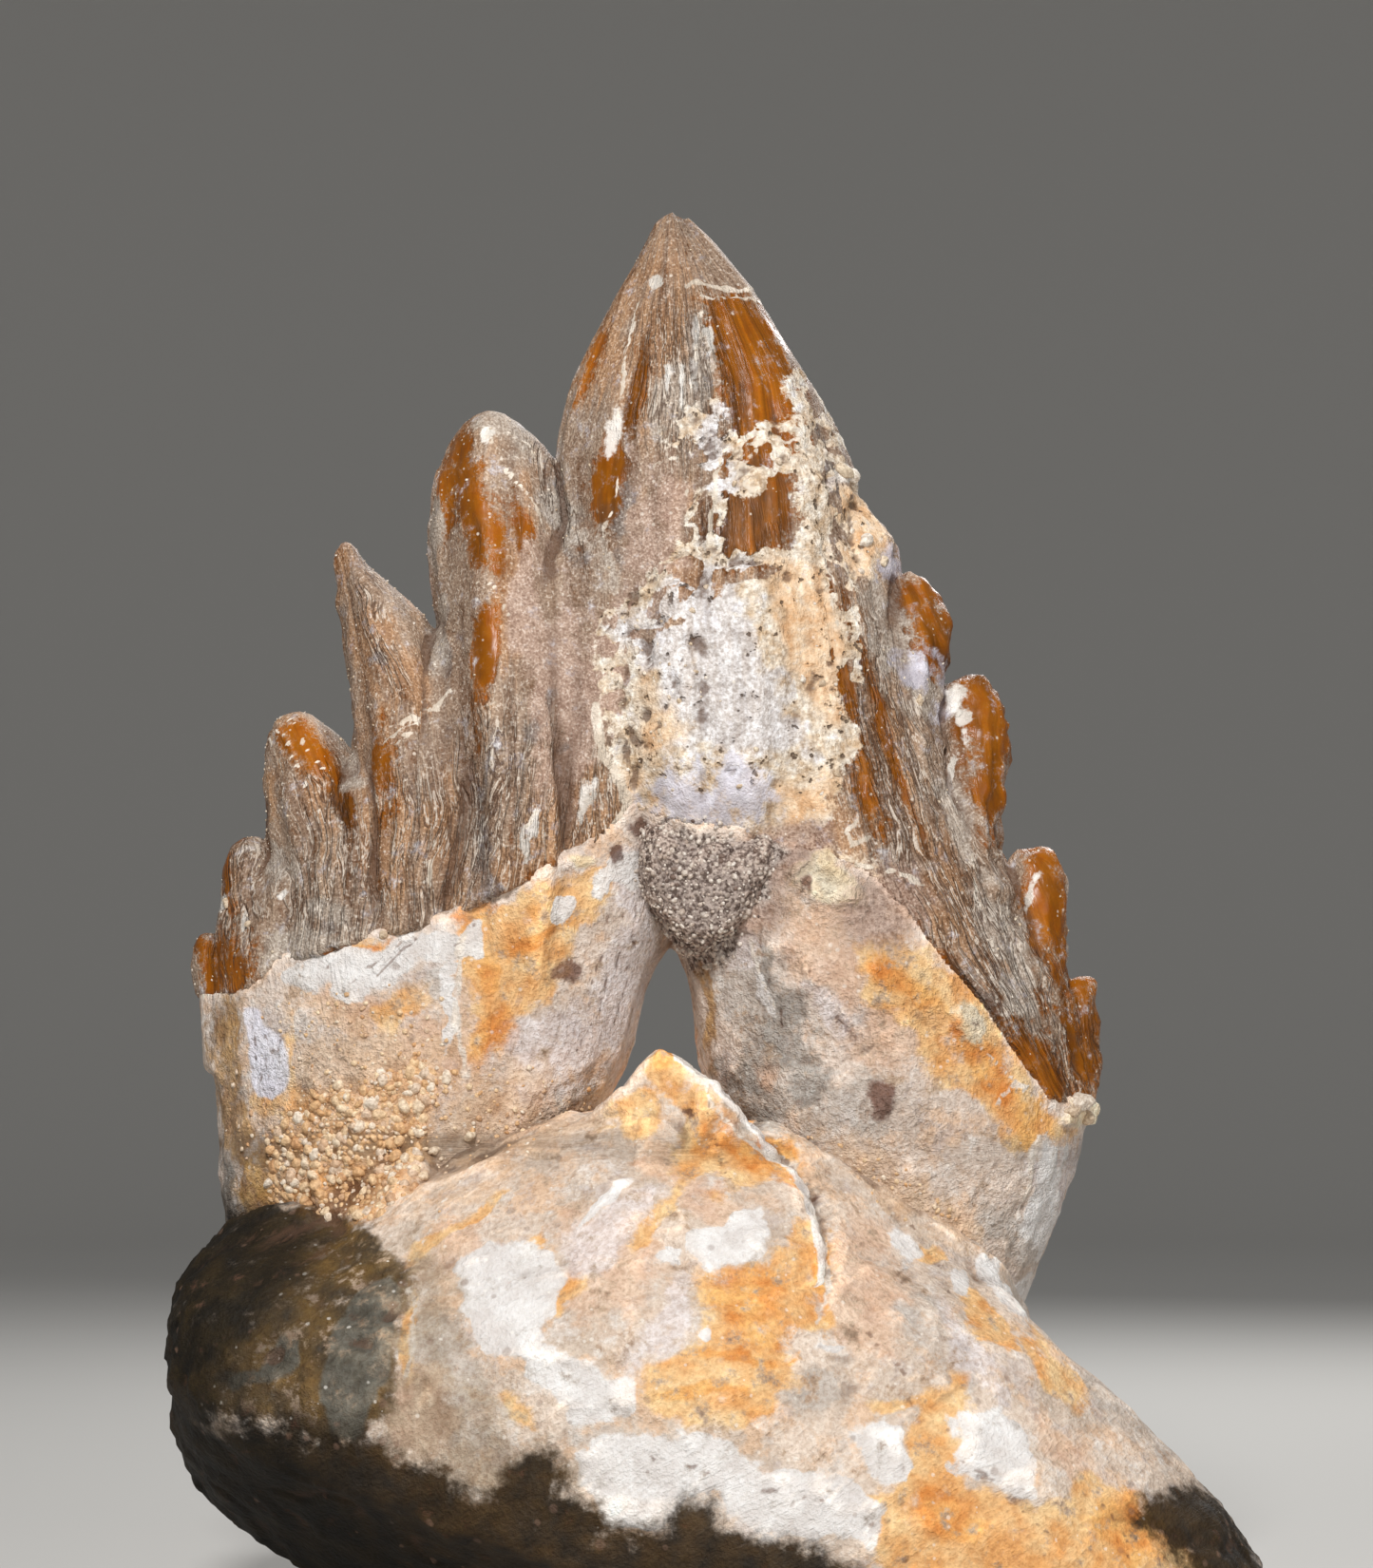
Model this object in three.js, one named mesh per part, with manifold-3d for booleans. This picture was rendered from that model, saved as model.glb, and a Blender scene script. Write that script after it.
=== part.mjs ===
// Fossil piece of a basilosaurus jaw: one cheek tooth with two roots stands in a broken block of
// jaw bone. A shard of the outer bone wall rises to a point in front of the fork, hard sandstone
// fills the socket round the roots, and a lump of the same sand sticks under the fork of the tooth.
// Millimetres. +X runs along the jaw, -Y faces the viewer and +Z is up. The origin lies on the flat
// base, under the main cusp.
import * as THREE from "three";
import { mergeVertices } from "three/addons/utils/BufferGeometryUtils.js";
import Module from "manifold-3d";

const wasm = await Module();
wasm.setup();

// Driving dimensions.
const GAP = 0.3; // clear space between two pieces that touch
const BOW = 0.0022; // how fast the ends of the tooth curve away from the viewer, per millimetre
const SLICE_STEP = 3; // height of one band of faces on the tooth
const CUSP_SIDES = 14;
const DENTICLE_SIDES = 10;
const ROOT_SIDES = 20;
const BLOCK_CURVE_FACES = 23;
const BLOCK_STEP = 5.5;

// Slices of the tooth from the top down: height, left edge, right edge, half thickness.
const LEFT_BODY = [
  [104, -8.5, 5, 5],
  [96, -9.4, 6, 7.2],
  [88.8, -19.6, 6, 8.6],
  [76.8, -27.2, 5.4, 10],
  [68.2, -34.8, 3.4, 10.8],
  [64.6, -37.4, 2.6, 11.2],
  [60, -39.6, 1, 11.6],
  [57, -40.6, -1, 11.8],
  [54, -41, -2, 11.9],
  [50, -40.8, -2.9, 11.9],
  [45, -40.2, -5.2, 11.7],
  [38, -39.8, -9, 11],
  [30, -38.4, -12.5, 9.6],
  [20, -34.5, -17.5, 7],
  [13, -30, -22, 3.2],
];
const RIGHT_BODY = [
  [104, 2, 15, 5],
  [96, 1.4, 16.8, 7.2],
  [88.8, 0.6, 20, 8.6],
  [76.8, 0.4, 24.4, 10],
  [68.2, 0.2, 29.5, 10.8],
  [64.6, -0.4, 31.4, 11.2],
  [60, 0.4, 33.6, 11.5],
  [57, 1.6, 35.2, 11.6],
  [54, 2.3, 36.6, 11.6],
  [50, 2.8, 37.6, 11.5],
  [43, 4.8, 37.8, 11.2],
  [37, 9.4, 35.9, 10.6],
  [30, 12.6, 33, 9.4],
  [20, 15, 28.5, 7],
  [13, 18, 24, 3.2],
];
const CUSP = [
  [124.5, 0.1, 0.9, 0.4],
  [123.9, -0.8, 2, 1.1],
  [122.4, -1.6, 3.7, 2],
  [118.2, -3.9, 7.3, 3.9],
  [113.9, -6.3, 9.9, 5.4],
  [109.7, -8.1, 12.5, 6.7],
  [106.3, -9.2, 14.7, 7.6],
  [102.9, -9.7, 16.5, 8.5],
  [100.4, -9.7, 17.3, 9],
  [96, -9.4, 17.2, 9.8],
  [84, -7.6, 17, 11.6],
  [73, -5.4, 15.2, 12],
  [64, -3, 12.4, 9.6],
];
const DENTICLES = [
  // Largest on the left.
  [
    [106.7, -16.2, -15.2, 0.6],
    [105.9, -17.9, -13.5, 1.8],
    [104.4, -18.9, -11.7, 2.9],
    [102, -20.1, -9.9, 4.2],
    [98.6, -21, -8.6, 5.7],
    [92.7, -20.9, -7.5, 7.8],
    [86, -20, -7, 9.6],
    [77, -19.2, -6.6, 11.6],
    [67, -18.8, -5.6, 12.8],
    [59, -18.2, -7.2, 12.2],
    [52, -17, -8, 10.4],
  ],
  // Tall and narrow.
  [
    [95, -29, -28.4, 0.5],
    [94.3, -29.5, -27.9, 1.2],
    [92.6, -29.6, -26.3, 2.1],
    [89.3, -29, -22.6, 3.8],
    [87, -28.7, -20.4, 4.8],
    [84.2, -28.3, -19.8, 6],
    [79, -27.7, -19.7, 8],
    [70.6, -27, -19.6, 10.6],
    [61, -26.6, -20, 11.8],
    [53, -26, -20.6, 10.6],
  ],
  [
    [79.7, -33.9, -32.7, 0.8],
    [79, -35, -31.3, 2],
    [76.9, -35.8, -28.7, 3.7],
    [73.1, -36, -27, 5.8],
    [68.9, -35.6, -26.4, 7.6],
    [62, -34.8, -26.4, 9.4],
    [55, -34, -26.6, 10.4],
  ],
  [
    [68.5, -37.8, -36.6, 0.8],
    [67.8, -38.8, -35.7, 2],
    [65.9, -39.4, -34.8, 3.4],
    [62, -39.9, -34.2, 5.2],
    [57, -40.2, -33.4, 6.6],
    [51, -39.6, -33, 7.4],
  ],
  [
    [59.8, -41.6, -40.7, 0.7],
    [58.9, -42.1, -40, 1.7],
    [57, -42.3, -38.9, 2.8],
    [53.6, -42, -37, 4.2],
    [48, -41.4, -36.4, 5],
  ],
  // Worn stump beside the main cusp on the right.
  [
    [99.4, 14.5, 16.9, 1.2],
    [97.3, 13, 19.1, 3],
    [95.4, 12, 20.6, 4.2],
    [93.2, 11, 21, 5.2],
    [89.3, 10, 20.4, 6.8],
    [82.5, 10, 19.8, 8.4],
    [74, 11, 19, 9],
  ],
  [
    [92, 20.4, 22, 0.8],
    [91, 19, 24, 2],
    [88.8, 17.8, 25.2, 3.5],
    [85.9, 17.5, 25.2, 4.9],
    [82.3, 17.5, 24.6, 6],
    [75.6, 17.5, 25, 7.8],
    [67, 18, 27, 9.6],
  ],
  [
    [83, 26.2, 28, 0.9],
    [82.1, 24.6, 29.4, 2],
    [80.5, 23.8, 30.5, 3],
    [77.4, 23.4, 30.8, 4.4],
    [73.1, 23.5, 30.4, 6],
    [68, 24, 29.8, 7.2],
    [60.4, 25, 31, 8.8],
    [53.5, 25, 32, 9.6],
  ],
  [
    [67.7, 32.7, 34.2, 0.8],
    [66.8, 31.2, 35.2, 2],
    [64.8, 30.2, 35.9, 3.2],
    [61.2, 29.8, 35.7, 4.6],
    [56.5, 29.8, 35.9, 5.8],
    [50, 30, 36.6, 6.8],
  ],
  [
    [56.1, 36.8, 37.9, 0.8],
    [55.2, 35.9, 38.5, 1.8],
    [52.5, 35, 38.8, 2.8],
    [48, 34.4, 38.7, 3.8],
    [43.4, 34, 38.1, 4.2],
  ],
];

// The block from left to right: place along the jaw, height of its shoulder, height that the
// sandstone climbs to against the roots, reach to the front and to the back, and how high its
// broken front and back edges stand off the base.
const BLOCK = [
  { x: -42.4, top: 30, collar: 30.6, front: 15, back: 14, lift: 22, backLift: 17 },
  { x: -41.2, top: 33, collar: 33.6, front: 19, back: 17.6, lift: 20.6, backLift: 14.4 },
  { x: -39.6, top: 34.4, collar: 36, front: 21, back: 19.2, lift: 19.2, backLift: 12.4 },
  { x: -38.2, top: 34.8, collar: 45.6, front: 22.2, back: 20, lift: 18.2, backLift: 11 },
  { x: -34.6, top: 35.4, collar: 49.5, front: 24, back: 21, lift: 16.2, backLift: 8 },
  { x: -27, top: 36.4, collar: 47.6, front: 26.6, back: 22.4, lift: 13.6, backLift: 3 },
  { x: -18, top: 37.6, collar: 44.4, front: 29.4, back: 23.6, lift: 10, backLift: 0 },
  { x: -9, top: 40, collar: 43.6, front: 31.5, back: 24.5, lift: 7.4, backLift: 0 },
  { x: 1, top: 41, collar: 43.4, front: 32.5, back: 25, lift: 5.4, backLift: 0 },
  { x: 9, top: 38.6, collar: 42.8, front: 32.5, back: 24.8, lift: 3.6, backLift: 0 },
  { x: 17, top: 35.6, collar: 41, front: 32, back: 24.2, lift: 2.2, backLift: 0 },
  { x: 25.5, top: 31.6, collar: 37.4, front: 31, back: 23, lift: 0.8, backLift: 0 },
  { x: 31.6, top: 27.6, collar: 30.4, front: 30, back: 22, lift: 0, backLift: 0 },
  { x: 36, top: 22.4, collar: 23, front: 28.5, back: 21, lift: 0, backLift: 0 },
  { x: 42, top: 16.4, collar: 17, front: 26, back: 19, lift: 0, backLift: 0 },
  { x: 47.5, top: 10.4, collar: 11, front: 22, back: 16, lift: 0, backLift: 0 },
  { x: 51.6, top: 4.6, collar: 5, front: 16, back: 11.5, lift: 0, backLift: 0 },
];
const COLLAR_DEPTH = 13.4; // half thickness of the block where it meets the roots
const BACK_COLLAR = 0.45; // share of the front climb that the sandstone makes at the back

// The trough of sandstone in the block, from left to right: place, half width and lowest point.
const TROUGH = [
  [-62, 12, 27],
  [-46, 16.5, 26],
  [-26, 21, 21],
  [2, 23, 24],
  [20, 22.4, 20],
  [32, 20, 20],
  [38, 17.4, 23.4],
  [44, 12, 29],
];
const TROUGH_TOP = 60;
const TROUGH_SIDES = 22;

// Outline of the bone shard, seen from the front, from its peak clockwise: x and z.
const SHARD = [
  [-0.4, 50],
  [3.4, 47.2],
  [7.2, 43],
  [11, 38.4],
  [12.4, 35.2],
  [13.4, 30.6],
  [11.2, 26.6],
  [11.8, 22.6],
  [8.2, 18],
  [-1, 18.4],
  [-8, 21],
  [-15, 19.6],
  [-22, 22.6],
  [-21.4, 28],
  [-26, 32],
  [-23, 35.8],
  [-13, 40],
  [-8, 43],
  [-3.4, 46.8],
];
const SHARD_CENTRE = [-4, 31];
const SHARD_THICKNESS = 4.2;
const SHARD_PROUD = { left: 0.3, right: 1.8 }; // how far the shard stands out of the block

// The lump of sand under the fork: its middle, half sizes and how uneven it is.
const FORK_LUMP = { x: 4.4, y: -7.2, z: 64.8, width: 7, depth: 4.8, height: 6.4, uneven: 0.14 };

const COLOURS = {
  enamel: 0x8a6038,
  bone: 0xc8a27c,
  shard: 0xd9a867,
  sandstone: 0xb5a08a,
  grit: 0x8a8078,
};

// A closed geometry from rings of points that all have the same number of points. The first and
// the last ring are closed by a fan round their middle.
function loft(rings) {
  const sides = rings[0].length;
  const points = rings.flat();
  const middle = (ring) => ring.reduce((sum, p) => sum.add(p), new THREE.Vector3()).divideScalar(sides);
  points.push(middle(rings[0]), middle(rings.at(-1)));
  const [startCap, endCap] = [points.length - 2, points.length - 1];
  const faces = [];
  for (let side = 0; side < sides; side++) {
    const next = (side + 1) % sides;
    for (let r = 0; r + 1 < rings.length; r++) {
      const [a, b] = [r * sides + side, r * sides + next];
      const [c, d] = [a + sides, b + sides];
      faces.push(a, c, b, b, c, d);
    }
    const last = (rings.length - 1) * sides;
    faces.push(startCap, side, next);
    faces.push(endCap, last + next, last + side);
  }
  const geometry = new THREE.BufferGeometry().setFromPoints(points);
  geometry.setIndex(faces);
  return geometry;
}

// The solid of a closed geometry, whichever way its faces were wound.
function solid(geometry) {
  const bare = geometry.clone();
  bare.deleteAttribute("normal");
  bare.deleteAttribute("uv");
  const merged = mergeVertices(bare, 1e-4);
  const triVerts = new Uint32Array(merged.index.array);
  const make = () =>
    new wasm.Manifold(
      new wasm.Mesh({ numProp: 3, vertProperties: merged.attributes.position.array, triVerts }),
    );
  const made = make();
  if (made.volume() > 0) return made;
  for (let i = 0; i < triVerts.length; i += 3)
    [triVerts[i + 1], triVerts[i + 2]] = [triVerts[i + 2], triVerts[i + 1]];
  return make();
}

const joined = (solids) => solids.reduce((whole, piece) => whole.add(piece));

// A cut can leave crumbs behind: only the largest body is kept.
const largest = (whole) =>
  whole.decompose().reduce((best, body) => (body.volume() > best.volume() ? body : best));

const power = (value, exponent) => Math.sign(value) * Math.abs(value) ** exponent;

// One limb of the tooth, a stack of flattened rings. Flat over 1 gives sharp side edges, and
// under 1 a boxy root.
function limb(slices, { sides, flat, grow }) {
  const track = (place) => new THREE.CatmullRomCurve3(slices.map(place), false, "centripetal");
  const left = track(([z, x0]) => new THREE.Vector3(x0, 0, z));
  const right = track(([z, , x1]) => new THREE.Vector3(x1, 0, z));
  const depth = track(([z, , , half]) => new THREE.Vector3(half, 0, z));
  const height = slices[0][0] - slices.at(-1)[0];
  const steps = Math.max(slices.length, Math.round(height / SLICE_STEP));
  const rings = [];
  for (let i = 0; i <= steps; i++) {
    const t = i / steps;
    const [l, r, d] = [left.getPoint(t), right.getPoint(t), depth.getPoint(t)];
    const end = i === 0 ? grow : i === steps ? -grow : 0;
    const z = (l.z + r.z) / 2 + end;
    const [centre, halfWidth] = [(l.x + r.x) / 2, (r.x - l.x) / 2 + grow];
    const ring = [];
    for (let side = 0; side < sides; side++) {
      const angle = (2 * Math.PI * side) / sides;
      const x = centre + halfWidth * power(Math.cos(angle), 1 / Math.max(flat, 1));
      const y = (d.x + grow) * power(Math.sin(angle), flat) + BOW * x * x;
      ring.push(new THREE.Vector3(x, y, z));
    }
    rings.push(ring);
  }
  return solid(loft(rings));
}

function tooth(grow = 0) {
  const body = { sides: ROOT_SIDES, flat: 0.86, grow };
  const cusp = { sides: CUSP_SIDES, flat: 1.12, grow };
  const denticle = { sides: DENTICLE_SIDES, flat: 1.12, grow };
  return joined([
    limb(LEFT_BODY, body),
    limb(RIGHT_BODY, body),
    limb(CUSP, cusp),
    ...DENTICLES.map((slices) => limb(slices, denticle)),
  ]);
}

// The front, top and back of the block at one place along the jaw, from its front foot.
function blockCurve({ x, top, collar, front, back, lift, backLift }) {
  const neck = Math.min(COLLAR_DEPTH, front * 0.75);
  const backCollar = THREE.MathUtils.lerp(top, collar, BACK_COLLAR);
  const places = [
    [-front * 0.94, lift],
    [-front, lift + (top - lift) * 0.18],
    [-front * 0.92, lift + (top - lift) * 0.52],
    [-(neck + (front - neck) * 0.3), top * 0.93],
    [-neck, (top + collar) / 2],
    [-neck * 0.96, collar],
    [0, (collar + backCollar) / 2],
    [neck, backCollar],
    [neck + (back - neck) * 0.45, top * 0.9],
    [back * 0.97, top * 0.56],
    [back, backLift + (top - backLift) * 0.24],
    [back * 0.84, backLift],
  ];
  const points = places.map(([y, z]) => new THREE.Vector3(x, y, z));
  return new THREE.CatmullRomCurve3(points, false, "centripetal");
}

function blockRing(place) {
  const { x, front, back, lift, backLift } = place;
  const ring = blockCurve(place).getPoints(BLOCK_CURVE_FACES);
  for (const point of ring) point.z = Math.max(point.z, 0);
  ring.push(new THREE.Vector3(x, back * 0.3, backLift * 0.8));
  ring.push(new THREE.Vector3(x, -front * 0.3, backLift * 0.8));
  ring.push(new THREE.Vector3(x, -front * 0.6, THREE.MathUtils.lerp(backLift * 0.8, lift, 0.4)));
  return ring;
}

function blend(a, b, t) {
  const mixed = {};
  for (const key of Object.keys(a)) mixed[key] = THREE.MathUtils.lerp(a[key], b[key], t);
  return mixed;
}

function blockAt(x) {
  const after = BLOCK.findIndex((place) => place.x > x);
  const i = after < 1 ? BLOCK.length - 1 : after;
  return blend(BLOCK[i - 1], BLOCK[i], (x - BLOCK[i - 1].x) / (BLOCK[i].x - BLOCK[i - 1].x));
}

function block() {
  const rings = [blockRing(BLOCK[0])];
  for (let i = 1; i < BLOCK.length; i++) {
    const parts = Math.max(1, Math.round((BLOCK[i].x - BLOCK[i - 1].x) / BLOCK_STEP));
    for (let part = 1; part <= parts; part++) {
      rings.push(blockRing(blend(BLOCK[i - 1], BLOCK[i], part / parts)));
    }
  }
  return solid(loft(rings));
}

// How far forward the block reaches at a place on its front: y at x and z.
function blockFront(x, z) {
  const curve = blockCurve(blockAt(x)).getPoints(60);
  const top = curve.findIndex((point, i) => i > 6 && point.y > -COLLAR_DEPTH);
  const face = curve.slice(0, top + 1);
  const above = face.findIndex((point) => point.z > z);
  if (above < 0) return face.at(-1).y;
  if (above === 0) return face[0].y;
  const [a, b] = [face[above - 1], face[above]];
  return THREE.MathUtils.lerp(a.y, b.y, (z - a.z) / (b.z - a.z));
}

function trough(grow = 0) {
  const rings = TROUGH.map(([x, half, low]) => {
    const ring = [];
    for (let side = 0; side < TROUGH_SIDES; side++) {
      const angle = (2 * Math.PI * side) / TROUGH_SIDES;
      const y = (half + grow) * Math.cos(angle);
      const z = TROUGH_TOP + (TROUGH_TOP - low + grow) * Math.sin(angle);
      ring.push(new THREE.Vector3(x, y, z));
    }
    return ring;
  });
  return solid(loft(rings));
}

// The shard: its outline, set back from a front face that follows the block.
function shard(grow = 0) {
  const centre = new THREE.Vector2(...SHARD_CENTRE);
  const across = SHARD.map(([x]) => x);
  const [left, right] = [Math.min(...across), Math.max(...across)];
  const proud = (x) =>
    THREE.MathUtils.mapLinear(x, left, right, SHARD_PROUD.left, SHARD_PROUD.right);
  const outline = new THREE.CatmullRomCurve3(
    SHARD.map(([x, z]) => new THREE.Vector3(x, 0, z)),
    true,
    "catmullrom",
    0.3,
  ).getPoints(SHARD.length * 2 - 1);
  const ringAt = (share, back, wider) =>
    outline.map((point) => {
      const out = new THREE.Vector2(point.x, point.z).sub(centre).multiplyScalar(share);
      const y = blockFront(out.x + centre.x, out.y + centre.y) - proud(out.x + centre.x) + back;
      out.setLength(out.length() + wider).add(centre);
      return new THREE.Vector3(out.x, y, out.y);
    });
  return solid(
    loft([
      ringAt(0.35, -3 * grow, 0),
      ringAt(0.7, -3 * grow, grow),
      ringAt(0.96, -3 * grow, 2 * grow),
      ringAt(1, 0.6 - 3 * grow, 2 * grow),
      ringAt(1, SHARD_THICKNESS + 5 * grow, 2 * grow),
      ringAt(0.7, SHARD_THICKNESS + 5 * grow, grow),
    ]),
  );
}

function forkLump() {
  const { x, y, z, width, depth, height, uneven } = FORK_LUMP;
  const ball = new THREE.SphereGeometry(1, 18, 13);
  const places = ball.attributes.position;
  for (let i = 0; i < places.count; i++) {
    const place = new THREE.Vector3().fromBufferAttribute(places, i);
    const swell = Math.sin(4.2 * place.x + 0.8) * Math.cos(3.6 * place.z) + Math.sin(5 * place.y + place.x);
    place.multiplyScalar(1 + (uneven * swell) / 2);
    places.setXYZ(i, ...place);
  }
  ball.scale(width, depth, height).translate(x, y, z);
  return solid(ball);
}

// Makes the named mesh of a finished solid.
function mesh(name, made, colour, roughness) {
  const { vertProperties, triVerts } = largest(made).getMesh();
  const geometry = new THREE.BufferGeometry();
  geometry.setAttribute("position", new THREE.BufferAttribute(vertProperties, 3));
  geometry.setIndex(new THREE.BufferAttribute(triVerts, 1));
  geometry.computeVertexNormals();
  const material = new THREE.MeshStandardMaterial({ color: colour, roughness, metalness: 0 });
  const named = new THREE.Mesh(geometry, material);
  named.name = name;
  return named;
}

const toothCutter = tooth(GAP);
const shardCutter = shard(GAP);
const wholeBlock = block();

const jaw = new THREE.Group();
jaw.add(
  mesh("tooth", tooth(), COLOURS.enamel, 0.45),
  mesh(
    "jaw_bone",
    wholeBlock.subtract(trough(GAP)).subtract(toothCutter).subtract(shardCutter),
    COLOURS.bone,
    0.85,
  ),
  mesh("bone_shard", shard().subtract(toothCutter), COLOURS.shard, 0.8),
  mesh(
    "socket_sandstone",
    wholeBlock.intersect(trough()).subtract(toothCutter).subtract(shardCutter),
    COLOURS.sandstone,
    0.95,
  ),
  mesh("fork_sandstone", forkLump().subtract(toothCutter), COLOURS.grit, 0.95),
);

export default jaw;
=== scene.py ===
from itertools import product

import bmesh
import bpy
import numpy as np
from mathutils import Matrix, Vector
from mathutils.bvhtree import BVHTree


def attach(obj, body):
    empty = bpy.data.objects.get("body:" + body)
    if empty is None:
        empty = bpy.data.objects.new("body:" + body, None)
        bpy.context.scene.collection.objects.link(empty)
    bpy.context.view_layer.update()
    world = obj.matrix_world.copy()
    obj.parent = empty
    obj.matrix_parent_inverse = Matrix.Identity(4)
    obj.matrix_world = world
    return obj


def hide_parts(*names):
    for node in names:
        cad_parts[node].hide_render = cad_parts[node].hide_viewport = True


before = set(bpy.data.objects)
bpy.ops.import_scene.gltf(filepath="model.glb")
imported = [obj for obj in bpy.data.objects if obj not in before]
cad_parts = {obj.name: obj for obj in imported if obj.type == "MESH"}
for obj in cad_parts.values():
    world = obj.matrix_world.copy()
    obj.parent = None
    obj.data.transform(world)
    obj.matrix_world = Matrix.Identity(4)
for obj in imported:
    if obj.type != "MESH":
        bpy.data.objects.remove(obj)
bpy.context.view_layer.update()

# Fossil jaw piece: a cheek tooth in a broken block of jaw bone. The shapes are worked in millimetres
# as arrays of points and handed over in metres. The row's frame: +X along the jaw, -Y to the viewer.
MM = 0.001

# The photograph's view.
EYE = Vector((1.9, -420, 50))
AIM = Vector((1.9, 0, 73.5))
VIEW_HEIGHT = 140.25  # what the picture spans from top to bottom at the tooth
PIXEL = 0.085  # one pixel of the photograph at the tooth
MIDDLE_COLUMN = 700  # the photograph's column over x = 0
FOOT_ROW = 1690  # the photograph's row of z = 0
BOW = 0.0022  # how fast the ends of the tooth curve away from the viewer, per millimetre

# Places on the object are given as the photograph shows them: column and row.

# The enamel ends along this line, from left to right.
ENAMEL_EDGE = [
    (200, 1050), (226, 1050), (262, 1042), (282, 1026), (290, 1012), (320, 1010), (352, 1001),
    (402, 987), (440, 978), (472, 973), (502, 952), (560, 926), (612, 900), (640, 876), (664, 852),
    (700, 862), (790, 880), (835, 893), (890, 905), (925, 932), (958, 968), (992, 1012), (1035, 1058),
    (1067, 1110), (1102, 1156), (1160, 1172),
]
ENAMEL_STEP = 0.3  # how far the enamel stands out over the root

# Lines that the ribs of the enamel follow, from left to right: how far the crown bulges along each, in
# millimetres, then the line from the top down.
RIB_LINES = [
    (0, (180, 230), (205, 888), (216, 1000), (222, 1100)),
    (0.4, (240, 230), (252, 760), (262, 888), (266, 960), (262, 1050)),
    (-0.4, (250, 230), (262, 755), (284, 850), (312, 930), (300, 1010)),
    (0.5, (288, 230), (290, 570), (304, 755), (336, 830), (352, 900), (346, 1000)),
    (-0.5, (330, 230), (350, 560), (366, 660), (384, 760), (398, 850), (392, 1000)),
    (0.5, (350, 230), (364, 570), (392, 650), (428, 740), (440, 850), (432, 970)),
    (-0.7, (452, 230), (456, 560), (460, 645), (474, 750), (488, 850), (468, 970)),
    (0.6, (560, 230), (514, 435), (518, 520), (526, 650), (530, 780), (518, 900), (504, 960)),
    (-0.6, (690, 226), (650, 300), (610, 400), (588, 475), (600, 600), (606, 750), (594, 880)),
    (0.1, (702, 226), (676, 320), (655, 430), (650, 600), (648, 800), (650, 1000)),
    (0.2, (706, 226), (710, 400), (706, 600), (700, 800), (700, 1000)),
    (0.1, (712, 226), (745, 300), (776, 400), (792, 600), (800, 800), (815, 1000)),
    (
        0, (716, 226), (780, 300), (838, 400), (868, 500), (890, 600), (912, 720), (962, 900),
        (1005, 1000), (1110, 1170),
    ),
    (
        -0.4, (740, 226), (880, 400), (902, 500), (938, 600), (955, 700), (1020, 900), (1062, 1000),
        (1128, 1170),
    ),
    (
        0.2, (770, 226), (930, 400), (984, 600), (1050, 720), (1060, 850), (1118, 920), (1150, 1050),
        (1160, 1170),
    ),
]

# Places on the crown: column, row, half width, half height and, where it leans, how far the top leans
# right, in degrees. A list of places is an outline.
AMBER = [
    [
        (742, 312), (798, 318), (822, 370), (836, 440), (838, 540), (812, 590), (760, 590), (748, 560),
        (778, 500), (770, 440), (750, 390),
    ],
    (668, 408, 8, 36, 8), (641, 520, 11, 44, 6), (630, 372, 7, 44, 20), (506, 535, 17, 66, -14),
    (466, 512, 13, 40, 6), (552, 558, 8, 30, -24), (519, 690, 11, 60, 4), (408, 812, 13, 42),
    (324, 796, 14, 30, -30), (360, 845, 8, 30, -20), (246, 925, 5, 40, -6), (249, 1022, 28, 30),
    (217, 1030, 12, 44), (974, 640, 24, 40, -20), (984, 660, 14, 40), (1038, 770, 24, 60, -6),
    (1040, 830, 14, 40), (1100, 960, 19, 70, -4), (1138, 1105, 17, 80), (905, 830, 12, 50, -14),
    (1004, 1040, 12, 60, -32), (1090, 1120, 22, 46, -30), (930, 770, 5, 110, -16),
    (600, 905, 50, 10, -28), (885, 700, 6, 80, -8), (366, 1008, 34, 7, -12),
]
DARK_ENAMEL = [
    (488, 870, 9, 84), (470, 940, 16, 40, 10), (316, 895, 10, 50, -6), (292, 840, 9, 40, -8),
    (925, 800, 7, 90, -18), (985, 950, 12, 90, -20), (775, 560, 42, 42), (352, 856, 14, 30, -30),
    (640, 555, 10, 34), (1020, 1010, 14, 60, -30), (800, 505, 16, 30), (480, 660, 12, 50),
    (505, 820, 20, 80), (560, 900, 30, 20, -28),
]
PINK_FILM = [
    (605, 745, 24, 110), (690, 570, 30, 74), (560, 640, 18, 60), (640, 700, 18, 60), (665, 660, 20, 50),
    (705, 540, 20, 60), (574, 760, 12, 70),
]
PALE_FILM = [
    (590, 530, 16, 58, -24), (462, 668, 12, 30), (366, 800, 13, 38, -34), (326, 1000, 56, 16),
    (300, 915, 10, 20), (955, 690, 12, 60, -10), (925, 640, 16, 50, -10), (272, 893, 16, 10),
    (1062, 1000, 16, 90, -20), (540, 456, 30, 16, 45), (458, 560, 7, 46), (640, 600, 12, 40, -6),
    (1010, 870, 14, 60, -14), (968, 735, 20, 26), (1000, 730, 14, 20, 24), (360, 965, 20, 12),
    (740, 360, 14, 40), (716, 410, 28, 34), (690, 430, 14, 30), (594, 420, 5, 60, 14),
]
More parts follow.
